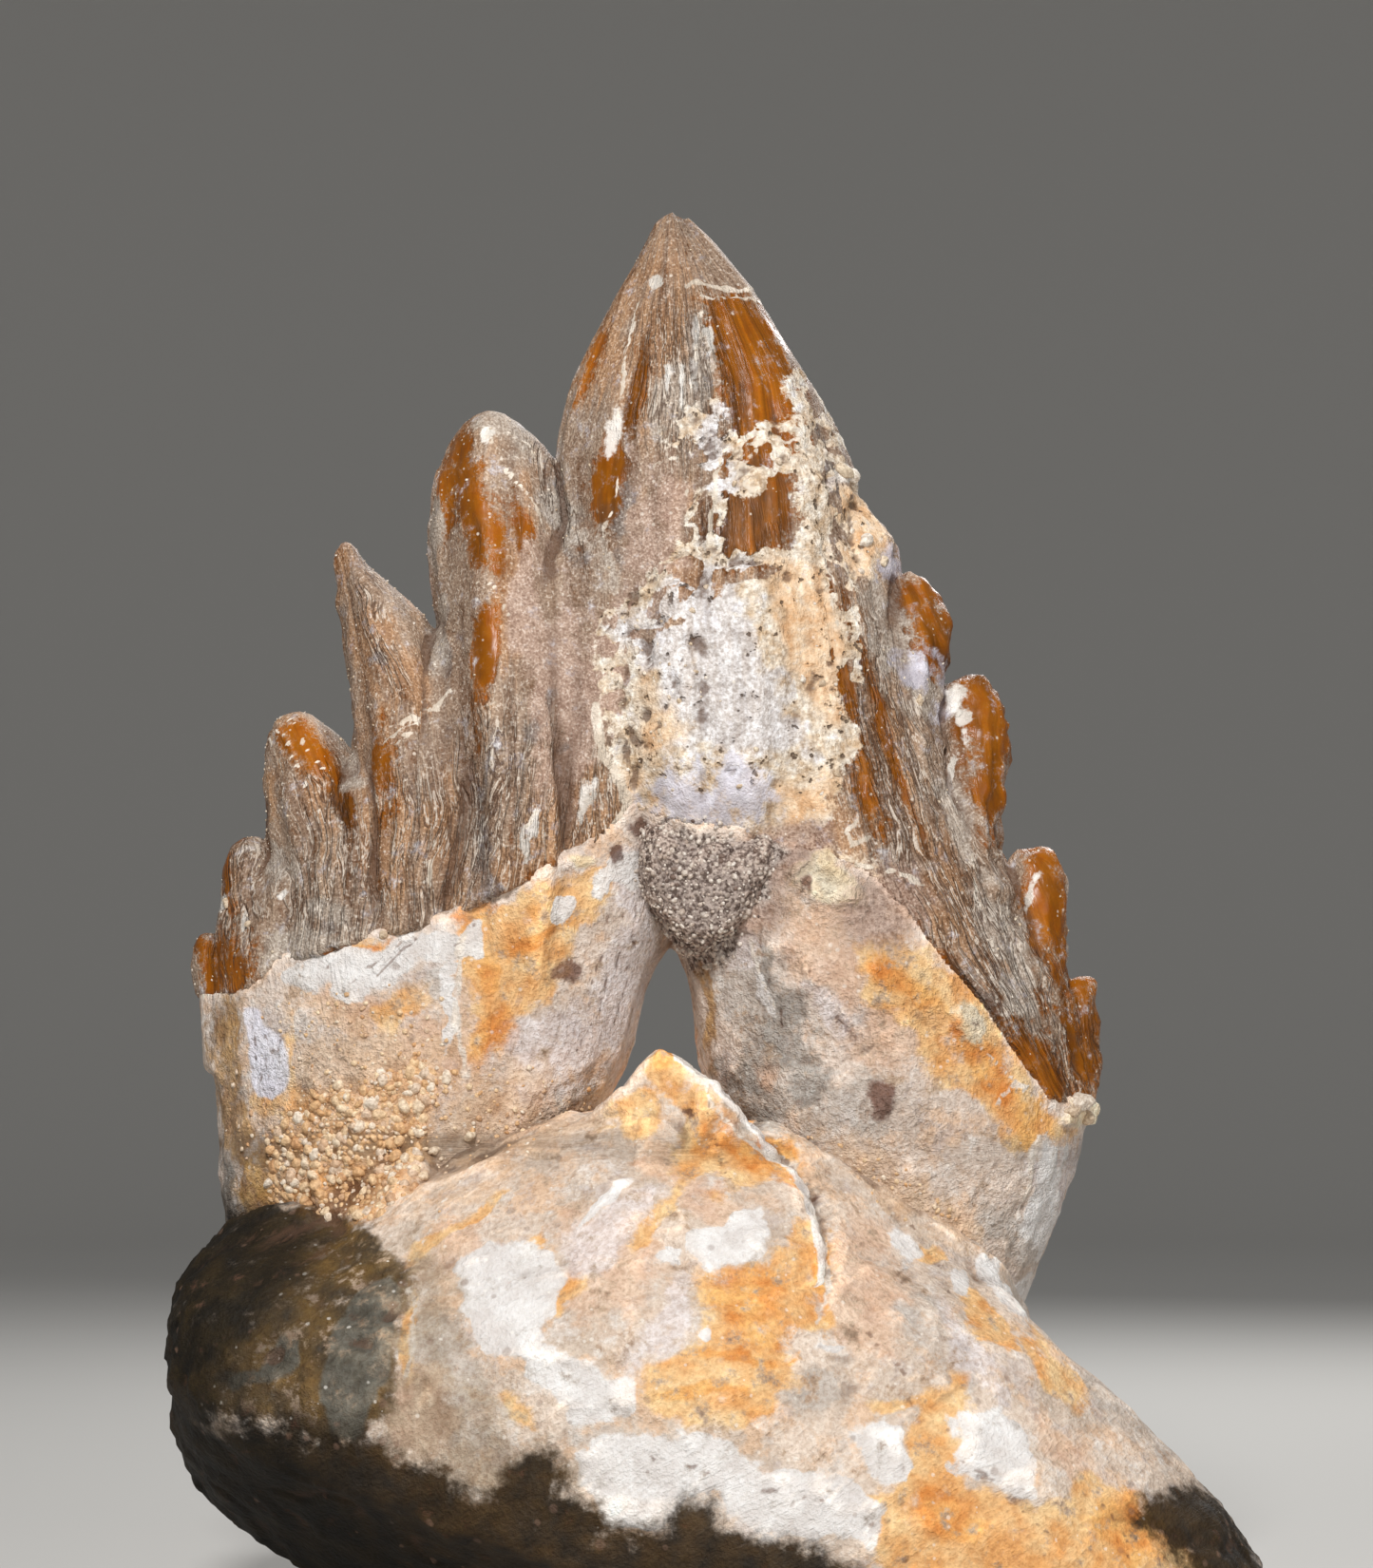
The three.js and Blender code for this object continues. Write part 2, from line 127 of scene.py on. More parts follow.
# Where the film is tinged orange-brown by the enamel under it.
TAWNY = [
    (357, 590, 8, 24), (352, 640, 10, 60, -16), (400, 690, 16, 60, -20), (430, 730, 14, 30),
    (540, 600, 14, 80), (500, 480, 10, 60, -10), (330, 830, 34, 60, -20), (240, 930, 16, 40),
    (400, 860, 30, 90), (470, 880, 16, 80), (560, 905, 60, 18, -28), (600, 840, 26, 70),
    (625, 885, 30, 40), (700, 370, 36, 80), (650, 330, 16, 60, 16), (760, 545, 36, 50),
    (735, 612, 40, 30), (930, 780, 20, 120, -16), (1000, 930, 24, 90, -26), (1060, 1060, 20, 90, -28),
    (880, 870, 30, 30),
]
# Cream crust on the enamel.
CRUST = [
    [
        (735, 600), (776, 596), (838, 585), (846, 540), (834, 470), (826, 400), (842, 385), (866, 415),
        (890, 460), (905, 505), (912, 545), (944, 572), (940, 604), (900, 612), (884, 640), (884, 700),
        (896, 760), (888, 800), (876, 850), (842, 885), (800, 872), (760, 862), (716, 862), (676, 860),
        (655, 825), (634, 790), (642, 735), (634, 690), (640, 668), (664, 676), (694, 650), (716, 630),
    ],
    (790, 458, 46, 6, 8), (755, 510, 8, 60, 6), (735, 560, 12, 40, 14), (722, 450, 16, 24, 20),
    (790, 500, 14, 17), (865, 925, 40, 26), (748, 438, 8, 24, 20),
]
WHITE_CRUST = [
    [
        (735, 590), (790, 600), (800, 680), (830, 740), (860, 800), (800, 800), (700, 800), (690, 720),
        (690, 660),
    ],
    (888, 495, 13, 12), (760, 480, 20, 40), (690, 690, 40, 26, 30),
]
TAN_CRUST = [
    [(815, 590), (870, 600), (884, 690), (880, 760), (850, 760), (830, 700), (812, 650)],
    (690, 770, 24, 44), (905, 565, 38, 50, -10), (850, 850, 36, 30), (665, 830, 24, 24),
    (866, 925, 44, 28),
]
# Where the crust has pits, and where it is only a network of ridges.
LACY = [
    (690, 640, 60, 50), (660, 740, 26, 110), (868, 500, 34, 120, -10), (720, 560, 40, 70),
    (790, 590, 60, 24), (876, 740, 20, 100), (730, 800, 90, 30), (790, 480, 60, 50), (700, 720, 40, 60),
]
NETWORK = [
    (712, 628, 66, 36, -38), (778, 596, 44, 20), (744, 560, 22, 60, 10), (868, 470, 22, 90, -14),
    (650, 700, 16, 60), (790, 480, 56, 40), (886, 640, 16, 110, -6), (728, 450, 24, 30),
]
LILAC = [
    (742, 846, 50, 34), (764, 824, 26, 20), (960, 705, 15, 20), (938, 592, 14, 16), (988, 740, 12, 16),
]
# Slate-grey spots of the film.
SLATE_FILM = [
    (512, 870, 8, 80, 4), (563, 772, 11, 16), (596, 786, 6, 6), (582, 742, 5, 10), (352, 984, 9, 7),
    (1046, 1064, 12, 34, -20), (590, 540, 10, 40, -20), (404, 700, 5, 8), (735, 800, 16, 20),
    (870, 690, 5, 40, -8), (655, 560, 8, 50), (470, 700, 6, 50), (880, 500, 6, 30, -20),
    (850, 440, 5, 40, -24),
]
# Where wavy furrows show in the film.
STRIAE = [
    (600, 840, 60, 90), (520, 840, 50, 90), (440, 900, 60, 80), (350, 950, 50, 60), (250, 960, 30, 80),
    (930, 800, 50, 150, -16), (1000, 960, 60, 90, -28), (1070, 1080, 60, 120, -28), (720, 400, 50, 80),
    (625, 880, 40, 60), (345, 860, 26, 50, -20), (770, 560, 40, 40), (400, 660, 10, 90, -16),
    (580, 500, 14, 90, -20),
]
# Brown film where the grit thins out on the right.
UMBER = [(812, 905, 36, 40), (790, 960, 40, 26, -20), (838, 884, 34, 20), (930, 958, 46, 40, -40)]
CHIPS = [
    (645, 458, 9, 26, 8), (1014, 756, 10, 10, 30), (1000, 815, 4, 24, 8), (888, 495, 11, 9),
    (1004, 735, 12, 16, 24), (240, 951, 5, 9), (262, 973, 4, 9, 30), (303, 943, 3, 6, 30),
    (1016, 776, 5, 12), (734, 348, 4, 20), (748, 352, 3, 18), (700, 400, 3, 24), (714, 404, 3, 26),
    (728, 396, 3, 30), (612, 845, 4, 22, 8), (553, 890, 4, 14), (622, 830, 3, 16, 8), (515, 465, 6, 8),
    (690, 296, 8, 7), (566, 870, 4, 14, 8), (1086, 940, 4, 20, 10),
]
# Grit under the fork.
GRIT = [(738, 922, 62, 56), (742, 985, 34, 34), (700, 905, 30, 44), (790, 920, 22, 36)]
# Raised pale threads of filled cracks: half width in millimetres, then the places along each.
THREADS = [
    (0.24, (722, 303), (740, 297), (765, 301), (790, 304), (800, 312)),
    (0.13, (735, 308), (750, 313), (772, 310), (795, 318)),
    (0.15, (692, 296), (676, 312), (668, 330), (664, 352), (657, 400), (651, 436)),
    (0.12, (737, 330), (733, 380), (728, 430), (722, 520)),
    (0.14, (672, 496), (684, 500), (694, 490), (712, 484)),
    (0.2, (770, 452), (786, 464), (810, 462), (832, 466)),
    (0.2, (770, 468), (754, 496), (748, 530), (742, 580)),
    (0.2, (798, 470), (784, 486), (780, 502), (788, 518), (804, 516)),
    (0.14, (402, 780), (414, 773), (429, 758), (455, 743), (476, 726)),
    (0.12, (412, 790), (424, 770), (440, 752), (462, 744)),
    (0.12, (408, 768), (424, 762), (432, 750)),
    (0.1, (424, 780), (436, 762), (446, 740)),
    (0.16, (505, 737), (520, 739), (535, 738)),
    (0.17, (508, 616), (520, 622), (527, 637), (538, 660)),
    (0.4, (664, 850), (650, 864), (634, 884), (606, 904)),
    (0.42, (628, 742), (629, 770), (634, 796), (646, 822), (662, 848)),
    (0.08, (290, 755), (305, 790), (325, 825), (338, 860)),
    (0.08, (300, 755), (322, 790), (340, 815)),
    (0.07, (284, 762), (292, 800), (302, 842)),
    (0.14, (453, 975), (454, 930), (458, 890)),
    (0.18, (898, 908), (925, 914), (955, 924), (968, 934)),
    (0.14, (634, 575), (648, 540), (655, 500)),
    (0.12, (565, 850), (556, 880), (553, 900)),
    (0.13, (1020, 900), (1032, 960), (1050, 1010)),
    (0.13, (512, 462), (530, 486), (550, 520), (575, 560)),
    (0.12, (530, 455), (556, 476), (580, 520)),
    (0.14, (840, 520), (850, 560), (872, 610), (880, 660)),
    (0.16, (905, 860), (890, 876), (896, 888), (915, 880)),
    (0.12, (1018, 905), (1040, 900), (1060, 896)),
]
# Pale broken rims and veins of the bone.
PALE_LINES = [
    (0.5, (698, 1096), (712, 1102), (726, 1120), (738, 1144), (744, 1162)),
    (0.28, (744, 1162), (765, 1182), (800, 1208), (832, 1232), (846, 1258)),
    (0.2, (846, 1258), (860, 1300), (868, 1350), (862, 1375), (850, 1392)),
    (0.3, (848, 1262), (856, 1290), (860, 1310)),
    (0.34, (486, 985), (484, 1020), (482, 1060), (486, 1100), (490, 1136)),
    (0.22, (1102, 1190), (1091, 1195), (1085, 1220), (1078, 1250), (1070, 1284)),
    (0.16, (1046, 1164), (1052, 1152), (1066, 1142), (1082, 1144)),
    (0.16, (790, 985), (796, 1010), (806, 1040), (812, 1062)),
    (0.12, (1032, 1100), (1060, 1130), (1096, 1168)),
    (0.14, (498, 1230), (468, 1270), (446, 1310)),
    (0.2, (430, 1350), (436, 1400), (428, 1450)),
]
# Dark cracks, given the same way.
CRACKS = [
    (0.1, (440, 985), (424, 1004), (398, 1030)),
    (0.1, (428, 990), (400, 1010), (372, 1030)),
    (0.09, (500, 965), (494, 985), (478, 1000)),
    (0.06, (350, 1004), (346, 1020), (330, 1032)),
    (0.08, (660, 930), (652, 1000), (630, 1060), (606, 1110)),
    (0.08, (672, 950), (664, 1010), (644, 1080)),
    (0.08, (640, 940), (634, 1000), (616, 1060)),
    (0.07, (740, 1160), (745, 1190), (755, 1212), (766, 1238)),
    (0.06, (268, 1078), (270, 1110), (276, 1150)),
    (0.06, (278, 1090), (282, 1120), (283, 1154)),
    (0.06, (292, 1094), (293, 1120), (288, 1150)),
    (0.1, (799, 984), (801, 998), (806, 1012)),
    (0.1, (838, 1000), (850, 1018), (852, 1032)),
    (0.12, (868, 1058), (884, 1074), (902, 1092)),
    (0.08, (806, 1020), (812, 1050), (822, 1080)),
    (0.09, (846, 1146), (862, 1160), (870, 1176)),
    (0.1, (960, 1300), (990, 1330), (1010, 1370)),
    (0.1, (1150, 1400), (1175, 1440), (1200, 1480)),
    (0.09, (900, 1390), (950, 1450), (960, 1500)),
    (0.09, (1000, 1530), (1060, 1560), (1130, 1570)),
    (0.11, (1020, 1540), (1060, 1570), (1092, 1600), (1130, 1616)),
    (0.1, (912, 1597), (930, 1620), (955, 1650)),
    (0.1, (1150, 1560), (1180, 1600), (1190, 1640)),
    (0.09, (640, 1520), (720, 1530), (800, 1560), (880, 1580)),
]

# Stains and patches of the bone, on roots, shard and block alike.
ORANGE = [
    [
        (660, 1136), (690, 1092), (716, 1100), (726, 1140), (765, 1180), (825, 1218), (838, 1242),
        (800, 1248), (760, 1250), (715, 1240), (700, 1200), (724, 1170), (690, 1150),
    ],
    [
        (826, 1296), (850, 1284), (866, 1330), (872, 1360), (860, 1392), (826, 1412), (822, 1490),
        (780, 1504), (720, 1498), (668, 1466), (700, 1430), (732, 1394), (746, 1350), (790, 1338),
        (814, 1318),
    ],
    [
        (480, 985), (520, 952), (560, 930), (620, 902), (655, 895), (640, 935), (604, 985), (575, 1045),
        (548, 1072), (535, 1115), (500, 1112), (490, 1060), (482, 1020),
    ],
    [
        (900, 985), (940, 985), (985, 1008), (1035, 1056), (1067, 1108), (1110, 1165), (1132, 1186),
        (1092, 1206), (1060, 1215), (1036, 1180), (1016, 1146), (980, 1124), (950, 1084), (905, 1046),
    ],
    [
        (950, 1470), (1000, 1450), (1010, 1480), (990, 1500), (1010, 1545), (1090, 1578), (1140, 1540),
        (1200, 1580), (1290, 1650), (1000, 1700), (900, 1640), (905, 1580), (935, 1560), (950, 1520),
    ],
    [(336, 1004), (372, 990), (425, 982), (420, 990), (378, 1000), (345, 1012)],
    (424, 1066, 36, 16), (300, 1160, 40, 18), (350, 1225, 76, 44), (598, 1362, 26, 10, -40),
    (690, 1290, 50, 8, -45), (1040, 1396, 34, 12, 45), (1105, 1440, 46, 16, 45), (450, 1308, 34, 8, -35),
    (505, 1268, 40, 6, -35), (560, 1310, 20, 10, -40), (925, 1482, 36, 10), (434, 1400, 6, 52, -8),
    (540, 1476, 26, 12, 30), (985, 1330, 20, 10), (306, 1120, 6, 40, -6), (666, 1166, 34, 20, -30),
]
DEEP_ORANGE = [
    (510, 1030, 14, 24, -20), (532, 1076, 14, 28, -20), (1085, 1178, 32, 24, -40),
    (1046, 1130, 16, 44, -38), (950, 1036, 44, 12, 36), (800, 1218, 50, 16, 40), (696, 1112, 18, 16),
    (512, 1088, 14, 30, 10), (560, 990, 40, 8, -30), (862, 1350, 7, 50, -6), (1000, 1590, 34, 30),
    (1180, 1600, 34, 40), (800, 1370, 40, 30, 20), (330, 1250, 40, 20), (1016, 1092, 14, 26, -30),
    (500, 960, 24, 10, -30), (380, 993, 44, 5, -14), (740, 1460, 60, 8), (770, 1420, 50, 6),
    (740, 1200, 14, 24),
]
WHITE = [
    [
        (302, 1028), (330, 1008), (352, 1004), (400, 992), (440, 982), (462, 978), (478, 986),
        (500, 975), (506, 996), (480, 1014), (462, 1024), (440, 1026), (418, 1040), (385, 1046),
        (350, 1044), (318, 1042),
    ],
    (472, 1062, 7, 56), (497, 992, 12, 20), (590, 953, 10, 16, 20), (628, 935, 9, 15),
    [
        (592, 1530), (620, 1505), (660, 1497), (705, 1503), (780, 1532), (860, 1554), (930, 1590),
        (905, 1622), (800, 1606), (752, 1568), (720, 1570), (690, 1602), (645, 1602), (625, 1572),
    ],
    [(745, 1292), (790, 1274), (806, 1288), (800, 1314), (772, 1334), (750, 1340), (735, 1322)],
    (710, 1323, 15, 9),
    [
        (482, 1326), (505, 1312), (560, 1300), (590, 1322), (596, 1350), (572, 1382), (556, 1404),
        (596, 1428), (640, 1432), (668, 1452), (664, 1480), (638, 1488), (600, 1484), (575, 1464),
        (545, 1440), (524, 1414), (500, 1396), (484, 1366),
    ],
    [(888, 1505), (925, 1494), (948, 1514), (942, 1550), (906, 1554), (890, 1530)],
    [
        (988, 1497), (1005, 1478), (1040, 1480), (1062, 1500), (1076, 1532), (1090, 1568), (1058, 1560),
        (1030, 1542), (1000, 1534),
    ],
    [(936, 1296), (962, 1292), (985, 1330), (960, 1336), (940, 1320)],
    (648, 912, 30, 20), (1095, 1260, 14, 56, 20), (1072, 1370, 14, 30, -30), (1020, 1360, 14, 16),
    (858, 1410, 18, 8), (716, 1112, 20, 7, 50), (798, 1046, 9, 30, -12), (700, 955, 6, 20),
    (744, 1400, 8, 6), (640, 1270, 40, 6, -40),
]
PALE_LILAC = [
    (656, 1020, 24, 100, 14), (664, 925, 24, 46, 10), (590, 1110, 56, 44), (866, 1058, 13, 26, -32),
    (1112, 1250, 14, 60, 16), (640, 1300, 60, 24, -40), (1010, 1420, 16, 60, -30),
    (1030, 1508, 20, 22, -50), (520, 1345, 26, 30, 20), (1085, 1225, 9, 22), (780, 990, 16, 30, -10),
    (700, 1390, 18, 50, 36),
]
GREY = [
    (800, 1055, 42, 80, -16), (800, 1140, 42, 50), (870, 1160, 56, 40), (465, 1045, 12, 20),
    (244, 1250, 14, 34),
    [
        (1088, 1350), (1112, 1378), (1150, 1430), (1200, 1490), (1240, 1530), (1230, 1550), (1190, 1510),
        (1150, 1470), (1118, 1430), (1096, 1392),
    ],
    (480, 1180, 90, 16, -26), (470, 1440, 40, 60), (560, 1190, 80, 10, -35), (850, 1460, 26, 26),
    (980, 1410, 20, 70, -36), (1060, 1300, 50, 16, 45), (640, 1510, 60, 14),
]
PEACH = [
    (872, 1000, 44, 50, -20), (930, 1085, 60, 34, 35), (800, 1130, 14, 18), (560, 1150, 60, 26, -30),
    (450, 1110, 60, 40), (900, 1360, 50, 60), (640, 1330, 60, 50), (740, 1255, 70, 14, 20),
    (480, 1320, 40, 40), (1120, 1520, 60, 20, 45), (380, 1060, 60, 20), (820, 1560, 70, 12, 14),
    (450, 1480, 30, 50),
]
DARK_SPOTS = [
    (592, 1026, 15, 14), (916, 1160, 16, 18), (726, 1164, 4, 4), (666, 867, 15, 11), (641, 893, 8, 6),
    (857, 1262, 4, 4), (852, 932, 9, 5, 40),
]
SLATE = [
    (772, 1142, 22, 28), (786, 1176, 16, 12), (832, 1066, 24, 26, -20), (812, 1104, 24, 24),
    (846, 1130, 18, 30, 10), (244, 1250, 12, 30), (804, 1020, 8, 30, -10),
]
# A smooth bluish island in the left root.
INSET = [
    [
        (260, 1062), (274, 1063), (280, 1080), (296, 1086), (305, 1102), (307, 1130), (301, 1150),
        (290, 1159), (275, 1152), (266, 1130),
    ],
]
# The left end of the block: ochre round islands of pored bone, the ochre painted darker as shade, and a
# painted shade beyond them, nearly black.
OCHRE = [
    [
        (190, 1262), (300, 1286), (390, 1292), (426, 1340), (430, 1420), (414, 1500), (372, 1530),
        (250, 1490), (170, 1440),
    ],
]
# Lumps of cream crust on the root.
CREAM = [
    (852, 915, 26, 16, -20), (876, 930, 34, 20, 20), (1018, 1074, 16, 30, -40), (1132, 1168, 14, 14),
    (606, 896, 16, 6, -30),
]
# A painted shade: the dusky margin between the painted dark end and the bright bone.
SHADE_MARGIN = [
    [
        (425, 1300), (466, 1330), (478, 1420), (536, 1500), (600, 1552), (640, 1590), (560, 1600),
        (470, 1580), (410, 1520), (432, 1420),
    ],
]
# Yellow-brown crust down the edges of the roots and in the hollow of the left one.
RUST = [
    (746, 1050, 7, 80, -4), (240, 1090, 16, 50), (252, 1180, 14, 70, -4), (236, 1160, 12, 40),
    (278, 1240, 12, 50, -6), (330, 1250, 40, 20),
]
PORES = [
    [
        (411, 1343), (420, 1352), (421, 1400), (414, 1446), (394, 1482), (376, 1520), (352, 1510),
        (341, 1470), (350, 1404), (374, 1368), (395, 1350),
    ],
    [
        (276, 1440), (300, 1404), (318, 1412), (316, 1440), (296, 1452), (262, 1450), (250, 1470),
        (240, 1440),
    ],
]
# Painted shade along the bottom of the block, darker towards the bottom.
BOTTOM_SHADE = [
    [
        (400, 1512), (430, 1524), (500, 1566), (556, 1532), (578, 1520), (600, 1566), (635, 1576),
        (645, 1606), (690, 1602), (715, 1572), (750, 1570), (762, 1592), (800, 1606), (870, 1620),
        (900, 1650), (900, 1740), (200, 1740), (200, 1490), (340, 1504),
    ],
    [(1180, 1590), (1225, 1560), (1262, 1560), (1340, 1650), (1340, 1740), (1240, 1740), (1250, 1650)],
]
# Painted shade over the left end of the block and its far right bottom corner, nearly black.
SHADED_END = [
    [
        (60, 1250), (250, 1262), (318, 1296), (320, 1350), (290, 1396), (262, 1430), (260, 1480),
        (330, 1516), (376, 1556), (430, 1600), (520, 1644), (610, 1664), (760, 1674), (900, 1720),
        (900, 1800), (60, 1800),
    ],
    [(1252, 1586), (1290, 1580), (1400, 1650), (1400, 1800), (1320, 1800), (1300, 1650)],
]
# Where a layer has broken off the right root.
ROOT_LAYER = [
    [
        (756, 975), (800, 984), (806, 1006), (838, 1000), (852, 1032), (868, 1054), (902, 1092),
        (924, 1104), (870, 1130), (800, 1110), (758, 1070),
    ],
]
# Where the surface is rough, and where grains of sand lie.
ROUGH = [
    (950, 1055, 60, 50), (1020, 1078, 30, 26), (345, 1150, 90, 90), (1060, 1270, 80, 80),
    (600, 1150, 60, 30, -35), (300, 1460, 50, 70), (960, 1260, 90, 40, 35), (862, 922, 50, 40),
    (820, 1100, 70, 100), (930, 1180, 70, 50), (240, 1170, 24, 120),
]
GRANULES = [
    [
        (284, 1190), (330, 1172), (400, 1162), (446, 1180), (440, 1225), (415, 1266), (370, 1290),
        (300, 1288), (284, 1240),
    ],
    (420, 1150, 50, 24, -20), (350, 1160, 30, 14),
]
SANDY = [
    (380, 1150, 110, 96), (500, 1200, 90, 46, -34), (560, 1200, 70, 16, -36), (940, 1256, 90, 24, 35),
]
# Single lumps of crust: column, row and half size in millimetres.
LUMPS = [
    (912, 568, 0.8), (888, 494, 0.9), (898, 500, 0.6), (240, 951, 0.6), (262, 973, 0.4),
    (1136, 1160, 1.1), (1128, 1170, 0.7), (495, 1195, 0.6), (458, 1210, 0.5), (404, 984, 0.4),
    (920, 540, 0.6), (930, 590, 0.5), (968, 738, 0.5), (1142, 1176, 0.6),
]


def tint(red, green, blue):
    """A colour as the eye gives it, 0 to 255, for a shader."""
    parts = [part / 255 for part in (red, green, blue)]
    return (*[p / 12.92 if p <= 0.04045 else ((p + 0.055) / 1.055) ** 2.4 for p in parts], 1)


# Noise for the shapes.

# Large odd numbers that stir the place of a cell and a seed into chance.
CELL_STIR = (73856093, 19349663, 83492791)
SEED_STIR, FIRST_STIR, SECOND_STIR = 2654435761, 2246822519, 3266489917
SEED_SHIFT = 5.37  # how far the noise moves on from one seed to the next, in lumps
TURN = np.array(Matrix.Rotation(0.9, 3, Vector((1, 2, 3)).normalized()))


def lattice(cells, seed):
    """A number from 0 to 1 for each cell of a grid, the same each time."""
    a, b, c = (cells * CELL_STIR).T
    mixed = a ^ b ^ c ^ (seed + 7) * SEED_STIR
    mixed = (mixed ^ (mixed >> 15)) * FIRST_STIR
    mixed = (mixed ^ (mixed >> 13)) * SECOND_STIR
    return ((mixed ^ (mixed >> 16)) & 0xFFFF) / 0xFFFF


def bumps(points, size, seed):
    """Smooth noise from -1 to 1, with lumps about size across."""
    scaled = points / size + seed * SEED_SHIFT
    cell = np.floor(scaled).astype(np.int64)
    part = smooth_step(scaled - cell, 0, 1)
    total = np.zeros(len(points))
    for corner in product((0, 1), repeat=3):
        weight = np.prod(np.where(corner, part, 1 - part), axis=1)
        total += weight * lattice(cell + np.array(corner), seed)
    return 2 * total - 1


def several(points, size, *seeds):
    """Smooth noise for several directions at once."""
    return np.column_stack([bumps(points, size, seed) for seed in seeds])


def rough(points, size, seed, layers=4, fade=0.55):
    """Noise from about -1 to 1 with ever finer detail."""
    total, weight = np.zeros(len(points)), 0
    turned = points
    for layer in range(layers):
        strength = fade**layer
        total += strength * bumps(turned, size / 2**layer, seed + 11 * layer)
        weight += strength
        turned = turned @ TURN
    return total / weight


def pebbles(points, size, seed):
    """Distance to the nearest of scattered points, and a number of its own for that one."""
    scaled = points / size
    cell = np.floor(scaled).astype(np.int64)
    nearest = np.full(len(points), 9.0)
    own = np.zeros(len(points))
    for step in product((-1, 0, 1), repeat=3):
        near = cell + np.array(step)
        spot = near + np.column_stack([lattice(near, seed + k) for k in range(3)])
        apart = np.linalg.norm(spot - scaled, axis=1)
        own = np.where(apart < nearest, lattice(near, seed + 3), own)
        nearest = np.minimum(nearest, apart)
    return nearest, own


def smooth_step(value, low, high):
    """Runs from 0 at low to 1 at high, where low may be the larger."""
    share = np.clip((value - low) / (high - low), 0, 1)
    return share * share * (3 - 2 * share)


def inside_outline(seen, corners):
    """How far each seen place is inside an outline, in pixels of the photograph; below 0 outside it."""
    corners = np.array(corners, float)
    nearest = np.full(seen.shape[1], np.inf)
    inside = np.zeros(seen.shape[1], bool)
    for start, end in zip(corners, np.roll(corners, -1, axis=0)):
        span = end - start
        away = seen.T - start
        share = np.clip(away @ span / (span @ span), 0, 1)
        nearest = np.minimum(nearest, np.linalg.norm(away - share[:, None] * span, axis=1))
        beside = (start[1] > seen[1]) != (end[1] > seen[1])
        cross = away[:, 0] * span[1] - away[:, 1] * span[0]
        inside ^= beside & ((cross < 0) == (span[1] > 0))
    return np.where(inside, nearest, -nearest)


def inside_oval(seen, column, row, wide, tall, lean=0):
    """How far each seen place is inside an oval: 1 in its middle, 0 on its rim, below 0 outside it."""
    angle = np.radians(lean)
    right, down = seen[0] - column, seen[1] - row
    across = (right * np.cos(angle) + down * np.sin(angle)) / wide
    along = (right * np.sin(angle) - down * np.cos(angle)) / tall
    return 1 - np.hypot(across, along)


# Surfaces.

OUTLINE_RIM = 24  # how softly the masks of outlines fade, in pixels
SMOOTHING = (0.62, -0.64)  # a pull to the neighbours' mean and one back out, so that nothing shrinks
SEAM = 2.5  # half the width in which the front's masks change into the back's
REACH = 12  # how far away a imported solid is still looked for
# How threads waver, in millimetres: how far, the size of the waves, and their seeds across and down.
WAVER = ((0.22, 0.9, 5, 6), (0.4, 2.5, 7, 8))
# How hollows are found: rounds of smoothing, and how strongly the difference counts.
HOLLOW_SIZES = ((3, 2.2), (12, 1.1))


def even_mesh(name, nodes, voxel, below, above):
    """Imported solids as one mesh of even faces, without what is below one level or above another."""
    base = bpy.data.meshes.new(name)
    shape = bmesh.new()
    for node in nodes:
        shape.from_mesh(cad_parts[node].data)
    bmesh.ops.remove_doubles(shape, verts=shape.verts, dist=1e-6)
    for level, side in ((below, 1), (above, -1)):
        if level is None:
            continue
        everything = shape.verts[:] + shape.edges[:] + shape.faces[:]
        where = {"plane_co": (0, 0, level * MM), "plane_no": (0, 0, side)}
        bmesh.ops.bisect_plane(shape, geom=everything, clear_inner=True, **where)
        bmesh.ops.holes_fill(shape, edges=[edge for edge in shape.edges if edge.is_boundary])
    shape.to_mesh(base)
    shape.free()
    cast = bpy.data.objects.new(name + "_cast", base)
    bpy.context.scene.collection.objects.link(cast)
    remesh = cast.modifiers.new("even mesh", "REMESH")
    remesh.mode = "VOXEL"
    remesh.voxel_size = voxel * MM
    evaluated = cast.evaluated_get(bpy.context.evaluated_depsgraph_get())
    mesh = bpy.data.meshes.new_from_object(evaluated)
    bpy.data.objects.remove(cast)
    return mesh


def read(items, what, width, kind=float):
    """One row of numbers for each vertex or edge of a mesh."""
    values = np.empty(len(items) * width, kind)
    items.foreach_get(what, values)
    return values.reshape(-1, width)


